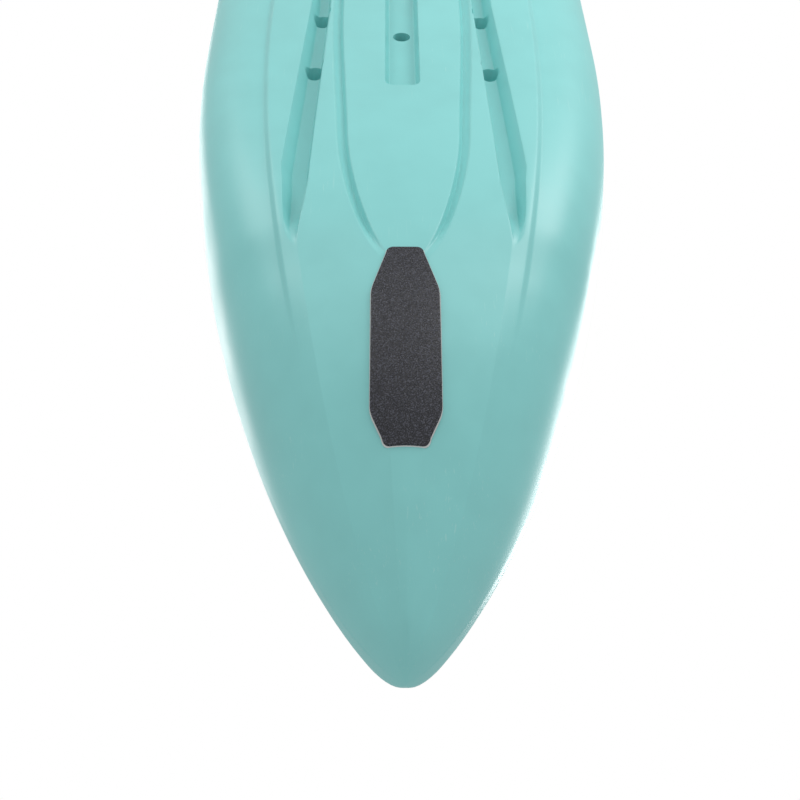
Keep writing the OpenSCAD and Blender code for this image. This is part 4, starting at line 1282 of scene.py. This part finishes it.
def screw_places(moulding: Moulding) -> list[tuple[float, float, float]]:
    """Where the deck screws stand.

    Args:
        moulding: The hull's sizes.

    Returns:
        The foot of each head.
    """
    x0, x1, wide, slim = moulding.hatch
    out = []
    for s in (-1, 1):
        for x in (x0 + 30, (x0 + x1) / 2, x1 - 35):
            half = wide + (slim - wide) * (x - x0) / (x1 - x0)
            out.append((x, s * (half + 27), moulding.hatch_floor + 5))
    out += [(x0 - 21, 0, moulding.hatch_floor + 5), (x1 + 21, 0, moulding.hatch_floor + 5)]
    dx, dr = moulding.day
    for deg in range(30, 331, 60):
        a = math.radians(deg)
        out.append((dx + (dr + 18) * math.cos(a), (dr + 18) * math.sin(a), moulding.day_flat + 6))
    ta, tb, ty, _ = moulding.track
    rx, ry, rr, _ = moulding.rod
    for s in (-1, 1):
        out += [(ta + 25 + (tb - ta - 50) * i / 3, s * ty, moulding.flat + 3) for i in range(4)]
        for deg in range(45, 316, 90):
            a = math.radians(deg)
            out.append((rx + (rr + 12.5) * math.cos(a), s * (ry + (rr + 12.5) * math.sin(a)), moulding.flat + 5))
    return out


# ---- tank well cord --------------------------------------------------------------------------


@dataclass
class TankCord:
    """The shock cord laced over the tank well."""

    lines: HullLines = field(default_factory=HullLines)
    eyes: tuple[tuple[float, float], ...] = ((-730, 299.81), (-1078.7, 265.05), (-1380, 196.19))
    radius: float = 3
    turn: float = 7.5
    ride: float = 7

    def wrap(self, i: int, side: int, a0: float, a1: float) -> list[Vector]:
        """Points round one button."""
        x, y = self.eyes[i]
        z = self.lines.deck(x, y) + self.ride
        turns = [math.radians(a0 + (a1 - a0) * k / 4) for k in range(5)]
        return [Vector((x + self.turn * math.cos(a), side * y + self.turn * math.sin(a), z)) for a in turns]

    def middle(self, i: int, j: int, dz: float) -> list[Vector]:
        """The crossing between two pairs of buttons."""
        (xi, yi), (xj, yj) = self.eyes[i], self.eyes[j]
        z = (self.lines.deck(xi, yi) + self.lines.deck(xj, yj)) / 2 + self.ride + dz
        return [Vector(((xi + xj) / 2, 0, z))]

    def route(self) -> list[Vector]:
        """The cord's centreline, one end to the other."""
        x, y = self.eyes[0]
        z = self.lines.deck(x, y) + self.ride
        return (self.wrap(0, 1, 20, 150) + self.middle(0, 1, 4) + self.wrap(1, -1, 330, 210) + self.middle(1, 2, 4)
                + self.wrap(2, 1, 30, 180) + self.wrap(2, -1, 180, 330) + self.middle(2, 1, -4) + self.wrap(1, 1, 150, 30)
                + self.middle(1, 0, -4) + self.wrap(0, -1, 210, 360)
                + [Vector((x + self.turn, 0, z + 1)), Vector((x + self.turn, y, z + 0.2))])

    def build(self, palette: Palette) -> None:
        """Sweeps the cord and gives it the map that its braid follows."""
        pts = self.route()
        line = []
        for i in range(len(pts) - 1):
            a, b = pts[max(i - 1, 0)], pts[i]
            c, d = pts[i + 1], pts[min(i + 2, len(pts) - 1)]
            steps = max(2, int((c - b).length / 9))
            straight = (c - b).length > 40
            for k in range(steps):
                t = k / steps
                if straight:
                    line.append(b.lerp(c, t))
                else:
                    line.append(0.5 * ((2 * b) + (c - a) * t + (2 * a - 5 * b + 4 * c - d) * t * t
                                       + (3 * b - a - 3 * c + d) * t**3))
        line.append(pts[-1])
        rings, sides = [], 12
        for i, p in enumerate(line):
            t = (line[min(i + 1, len(line) - 1)] - line[max(i - 1, 0)]).normalized()
            s = Vector((0, 0, 1)).cross(t).normalized()
            u = t.cross(s)
            rings.append([p + self.radius * (math.cos(a) * s + math.sin(a) * u)
                          for a in (2 * math.pi * k / sides for k in range(sides))])
        bm = loft(rings)
        layer = bm.loops.layers.uv.new("braid")
        run = [0.0]
        for a, b in zip(line, line[1:]):
            run.append(run[-1] + (b - a).length)
        table = {tuple(round(c, 3) for c in v): (k / sides, run[i] / 14) for i, ring in enumerate(rings)
                 for k, v in enumerate(ring)}
        for f in bm.faces:
            spots = [table.get(tuple(round(c, 3) for c in loop.vert.co), (0.0, 0.0)) for loop in f.loops]
            wraps = max(s[0] for s in spots) - min(s[0] for s in spots) > 0.5
            for loop, (u, v) in zip(f.loops, spots):
                loop[layer].uv = (u + 1 if wraps and u < 0.5 else u, v)
        cord = to_object(bm, "shock_cord", sharp=80)
        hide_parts("tank_bungee")
        dress(cord, Body.BOAT, palette.get("bungee_cord"))
        x, y = self.eyes[2]
        z = self.lines.deck(x, y) + self.ride
        self.sleeve("cord_sleeve_left", Vector((x - self.turn - 0.2, y - 34, z)), palette)
        self.sleeve("cord_sleeve_right", Vector((x - self.turn - 0.2, 34 - y, z)), palette)
        x, y = self.eyes[0]
        z = self.lines.deck(x, y) + self.ride
        self.sleeve("cord_sleeve_join", Vector((x + self.turn, 0, z + 1)), palette)

    def sleeve(self, name: str, at: Vector, palette: Palette) -> None:
        """A crimped sleeve on a run of the cord that lies across the hull.

        Args:
            name: Its name.
            at: Its middle.
            palette: The materials.
        """
        rings = []
        for along, r in ((-9, 3.2), (-8.6, 3.9), (-6, 4.1), (-4, 3.7), (-2, 4.1), (2, 4.1), (4, 3.7), (6, 4.1),
                         (8.6, 3.9), (9, 3.2)):
            rings.append([at + Vector((r * math.cos(a), along, r * math.sin(a)))
                          for a in (2 * math.pi * k / 20 for k in range(20))])
        dress(to_object(loft(rings), name), Body.BOAT, palette.get("stainless"))


def grips() -> list[Grip]:
    """The sleeves of the four carry handles."""
    lines = HullLines()
    bow, stern, side = lines.half_len - 300, 230 - lines.half_len, 318
    reach, axis = 46, 14
    bow_z = lines.top(bow - reach) - 6 + axis
    stern_z = lines.top(stern + reach) - 6 + axis
    return [
        Grip("bow_grip", Body.HANDLE_BOW, (bow - reach, 0, bow_z), False),
        Grip("stern_grip", Body.HANDLE_STERN, (stern + reach, 0, stern_z), False),
        Grip("left_grip", Body.HANDLE_LEFT, (-240, side - reach, 300 + axis), True),
        Grip("right_grip", Body.HANDLE_RIGHT, (-240, reach - side, 300 + axis), True),
    ]


# ---- seat pads -------------------------------------------------------------------------------


@dataclass(frozen=True)
class SeatPad:
    """A stuffed pad, blown up from its flat cover and held down along its seams."""

    name: str
    node: str
    body: Body
    size: tuple[float, float]
    thick: float
    origin: tuple[float, float, float]
    lean: float
    seams: tuple[float, ...]
    frames: int = 26
    step: float = 11

    def held(self, u: float, v: float) -> bool:
        """Whether a point of the cover lies on one of its quilted seams."""
        a, b = self.size
        inside = abs(v) < b - 26
        return inside and any(abs(u - s) < self.step * 0.51 for s in self.seams)

    def cover(self) -> bpy.types.Object:
        """The cover before it is filled, lying flat at the origin."""
        a, b = self.size
        across, along = round(2 * a / self.step), round(2 * b / self.step)
        bm = bmesh.new()
        bmesh.ops.create_grid(bm, x_segments=across, y_segments=along, size=1)
        for v in bm.verts:
            u, w = v.co.x, v.co.y
            pull = 1 - 0.035 * (u * u) * (w * w)
            v.co = Vector((u * a * pull, w * b * pull, -self.thick * 0.16))
        made = bmesh.ops.extrude_face_region(bm, geom=bm.faces[:])
        top = [v for v in made["geom"] if isinstance(v, bmesh.types.BMVert)]
        bmesh.ops.translate(bm, verts=top, vec=(0, 0, self.thick * 0.32))
        obj = to_object(bm, self.name, sharp=180)
        group = obj.vertex_groups.new(name="held")
        edge = 1.5
        for v in obj.data.vertices:
            u, w = v.co.x / MM, v.co.y / MM
            rim = abs(u) > a * 0.96 - edge or abs(w) > b * 0.96 - edge
            if rim or self.held(u, w):
                group.add([v.index], 1.0, "REPLACE")
        return obj

    def fill(self, obj: bpy.types.Object) -> None:
        """Blows the cover up with its seams held.

        Args:
            obj: The flat cover.
        """
        cloth = obj.modifiers.new("stuffing", "CLOTH")
        s = cloth.settings
        s.quality, s.mass, s.tension_stiffness, s.compression_stiffness = 5, 0.3, 12, 12
        s.shear_stiffness, s.bending_stiffness = 6, 0.4
        s.use_pressure, s.uniform_pressure_force = True, 3.2
        s.vertex_group_mass, s.pin_stiffness = "held", 1.0
        s.effector_weights.gravity = 0
        s.shrink_min = -0.09
        cloth.collision_settings.use_collision = False
        cloth.point_cache.frame_start, cloth.point_cache.frame_end = 1, self.frames
        scene = bpy.context.scene
        for frame in range(1, self.frames + 1):
            scene.frame_set(frame)
        bake_modifiers(obj)
        scene.frame_set(1)

    def build(self, palette: Palette) -> None:
        """Makes the pad and its piping, which is dressed in webbing.

        Args:
            palette: The materials.
        """
        obj = self.cover()
        self.fill(obj)
        low, high = -self.thick * 0.5, self.thick * 0.62
        turn = Matrix.Rotation(math.radians(self.lean), 4, "Y")
        place = Matrix.Translation(Vector(self.origin) * MM) @ turn
        for v in obj.data.vertices:
            z = v.co.z / MM
            v.co.z = (max(low, z) if z < 0 else high * math.tanh(z / high)) * MM
            v.co = place @ v.co
        soft = obj.modifiers.new("soft", "SUBSURF")
        soft.levels = soft.render_levels = 2
        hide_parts(self.node)
        dress(obj, self.body, palette.get("seat_mesh"))
        self.piping(place, palette)

    def piping(self, place: Matrix, palette: Palette) -> None:
        """The round cord sewn along the pad's edge.

        Args:
            place: Where the pad lies.
            palette: The materials.
        """
        a, b = self.size
        path = rounded_outline([(-a, -b), (a, -b), (a, b), (-a, b)], 12, 16, 6)
        rings, radius = [], 2.6
        for at, out in path:
            ring = []
            for k in range(12):
                t = 2 * math.pi * k / 12
                p = at.to_3d() - out.to_3d() * 1.6 + out.to_3d() * radius * math.cos(t) + Vector((0, 0, radius * math.sin(t)))
                ring.append(place @ (p * MM))
            rings.append(ring)
        bm = bmesh.new()
        loops = [[bm.verts.new(p) for p in ring] for ring in rings]
        for i in range(len(loops)):
            nxt = loops[(i + 1) % len(loops)]
            for k in range(12):
                bm.faces.new((loops[i][k], nxt[k], nxt[(k + 1) % 12], loops[i][(k + 1) % 12]))
        bmesh.ops.recalc_face_normals(bm, faces=bm.faces)
        dress(to_object(bm, self.name + "_piping", unit=1.0, sharp=80), self.body,
              palette.get("webbing"))


def seat_pads() -> list[SeatPad]:
    """The base pad and the back pad."""
    lean = math.radians(12)
    middle = (56 + 368.5) / 2
    return [
        SeatPad("base_cushion", "seat_base_pad", Body.SEAT, (183, 198), 24, (-135, 0, 213.5), 0, (-66, 66)),
        SeatPad("back_cushion", "seat_back_pad", Body.SEAT_BACK, (156.25, 187), 24,
                (-330 - middle * math.sin(lean) + 8 * math.cos(lean), 0, 248 + middle * math.cos(lean) + 8 * math.sin(lean)),
                -12 + 90, (-52, 52)),
    ]


# ---- stage, lights and camera ----------------------------------------------------------------


class Studio:
    """The floor, the lights and the camera."""

    LENS, SENSOR = 58.53, 36.0
    EYE = (2.9412, 0.0362, -1.3044)
    BACK = (0.71876, 0.01326, -0.69513)
    UP = (-0.69522, 0.00360, -0.71879)
    AMBIENT = 0.62
    BACKDROP = 1.0

    def floor(self) -> None:
        """A pale floor that is clear when it is looked at from underneath."""
        bm = bmesh.new()
        bmesh.ops.create_grid(bm, x_segments=2, y_segments=2, size=80)
        obj = to_object(bm, "floor", unit=1.0)
        obj.location.z = -0.0006
        material = bpy.data.materials.new("pale_floor")
        material.use_nodes = True
        material.node_tree.nodes.clear()
        n = Nodes(material.node_tree)
        plain = n.add("ShaderNodeBsdfPrincipled", {"Base Color": (0.86, 0.86, 0.855, 1.0), "Roughness": 0.7})
        clear = n.add("ShaderNodeBsdfTransparent")
        back = n.add("ShaderNodeNewGeometry").outputs["Backfacing"]
        seen = n.add("ShaderNodeLightPath").outputs["Is Camera Ray"]
        solid = n.math("MULTIPLY", seen, n.math("SUBTRACT", 1.0, back))
        both = n.add("ShaderNodeMixShader", {0: solid, 1: clear.outputs[0], 2: plain.outputs[0]})
        n.add("ShaderNodeOutputMaterial", {"Surface": both.outputs[0]})
        obj.data.materials.append(material)

    def light(self, name: str, place: tuple[float, float, float], target: tuple[float, float, float], size: float,
              power: float) -> None:
        """Adds one soft square light.

        Args:
            name: Its name.
            place: Where it hangs.
            target: What it faces.
            size: Its side in metres.
            power: Its power in watts.
        """
        data = bpy.data.lights.new(name, "AREA")
        data.size, data.energy = size, power
        obj = bpy.data.objects.new(name, data)
        obj.location = place
        obj.rotation_euler = (Vector(target) - Vector(place)).to_track_quat("-Z", "Y").to_euler()
        bpy.context.scene.collection.objects.link(obj)

    def strip(self, name: str, ends: tuple[tuple[float, ...], tuple[float, ...]], target: tuple[float, float, float], width: float,
              power: float) -> None:
        """Adds a long narrow light between two points.

        Args:
            name: Its name.
            ends: Its two ends.
            target: The point it faces.
            width: Its width in metres.
            power: Its power in watts.
        """
        a, b = Vector(ends[0]), Vector(ends[1])
        data = bpy.data.lights.new(name, "AREA")
        data.shape, data.size, data.size_y, data.energy = "RECTANGLE", (b - a).length, width, power
        obj = bpy.data.objects.new(name, data)
        middle = (a + b) / 2
        along = (b - a).normalized()
        back = (middle - Vector(target)).normalized()
        back = (back - along * back.dot(along)).normalized()
        side = back.cross(along)
        obj.matrix_world = Matrix.Translation(middle) @ Matrix((along, side, back)).transposed().to_4x4()
        bpy.context.scene.collection.objects.link(obj)

    def lights(self) -> None:
        """Soft light from above for the deck, and from below for the bottom."""
        world = bpy.data.worlds.new("pale")
        bpy.context.scene.world = world
        world.use_nodes = True
        n = Nodes(world.node_tree)
        n.tree.nodes.clear()
        lit = n.add("ShaderNodeBackground", {"Color": (1.0, 1.0, 1.0, 1.0), "Strength": self.AMBIENT})
        shown = n.add("ShaderNodeBackground", {"Color": (1.0, 1.0, 1.0, 1.0), "Strength": self.BACKDROP})
        seen = n.add("ShaderNodeLightPath").outputs["Is Camera Ray"]
        both = n.add("ShaderNodeMixShader", {0: seen, 1: lit.outputs[0], 2: shown.outputs[0]})
        n.add("ShaderNodeOutputWorld", {"Surface": both.outputs[0]})
        self.light("key_above", (-1.6, -2.6, 3.6), (0, 0, 0.2), 2.6, 120)
        self.light("fill_above", (-2.4, 2.2, 3.0), (0, 0, 0.2), 3.0, 60)
        self.light("low_right", (-0.2, -1.6, -1.6), (1.0, 0, 0.1), 1.3, 26)
        self.light("low_left", (-0.2, 1.6, -1.6), (1.0, 0, 0.1), 1.3, 14)
        self.strip("streak_left", ((0.2, 0.26, -1.75), (1.3, 0.62, -1.9)), (1.38, 0.03, 0.06), 0.07, 1.6)
        self.strip("streak_right", ((0.2, -0.26, -1.75), (1.3, -0.62, -1.9)), (1.38, -0.03, 0.06), 0.07, 2.0)

    def camera(self) -> None:
        """The camera under the bow, looking aft and up."""
        data = bpy.data.cameras.new("view")
        data.lens, data.sensor_width = self.LENS, self.SENSOR
        obj = bpy.data.objects.new("view", data)
        back, up = Vector(self.BACK).normalized(), Vector(self.UP).normalized()
        right = up.cross(back).normalized()
        up = back.cross(right)
        obj.matrix_world = Matrix.Translation(self.EYE) @ Matrix((right, up, back)).transposed().to_4x4()
        bpy.context.scene.collection.objects.link(obj)
        bpy.context.scene.camera = obj

    def build(self) -> None:
        """Sets the whole stage."""
        bpy.context.scene.view_settings.view_transform = "Standard"
        self.camera()
        self.floor()
        self.lights()


def paint_frame(frame: dict, palette: Palette) -> None:
    """Gives every carried-over CAD node the material of its own slot.

    Args:
        frame: The loaded frame.
        palette: The materials.
    """
    for name, obj in frame["nodes"].items():
        for i, slot in enumerate(obj.material_slots):
            key = slot.material.name.split(".")[0] if slot.material else ""
            if key in palette.FINISHES:
                obj.data.materials[i] = palette.get(key)
            else:
                log.info("%s keeps %s", name, key)


def write_sizes() -> None:
    def plain(box: object) -> list[list[float]]:
        """A box as lists."""
        return [[float(v) for v in corner] for corner in box]


def main() -> None:
    """Builds the kayak's looks around its frame."""
    logging.basicConfig(level=logging.INFO, format="%(message)s")
    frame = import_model()
    Studio().build()
    palette = Palette()
    paint_frame(frame, palette)
    moulding = Moulding()
    moulding.build(palette)
    KeelGuard().build(palette)
    Fittings(frame, palette).build()
    Screws().build(screw_places(moulding), palette)
    TankCord().build(palette)
    for piece in grips() + seat_pads():
        piece.build(palette)
    write_sizes()


if __name__ == "__main__":
    main()
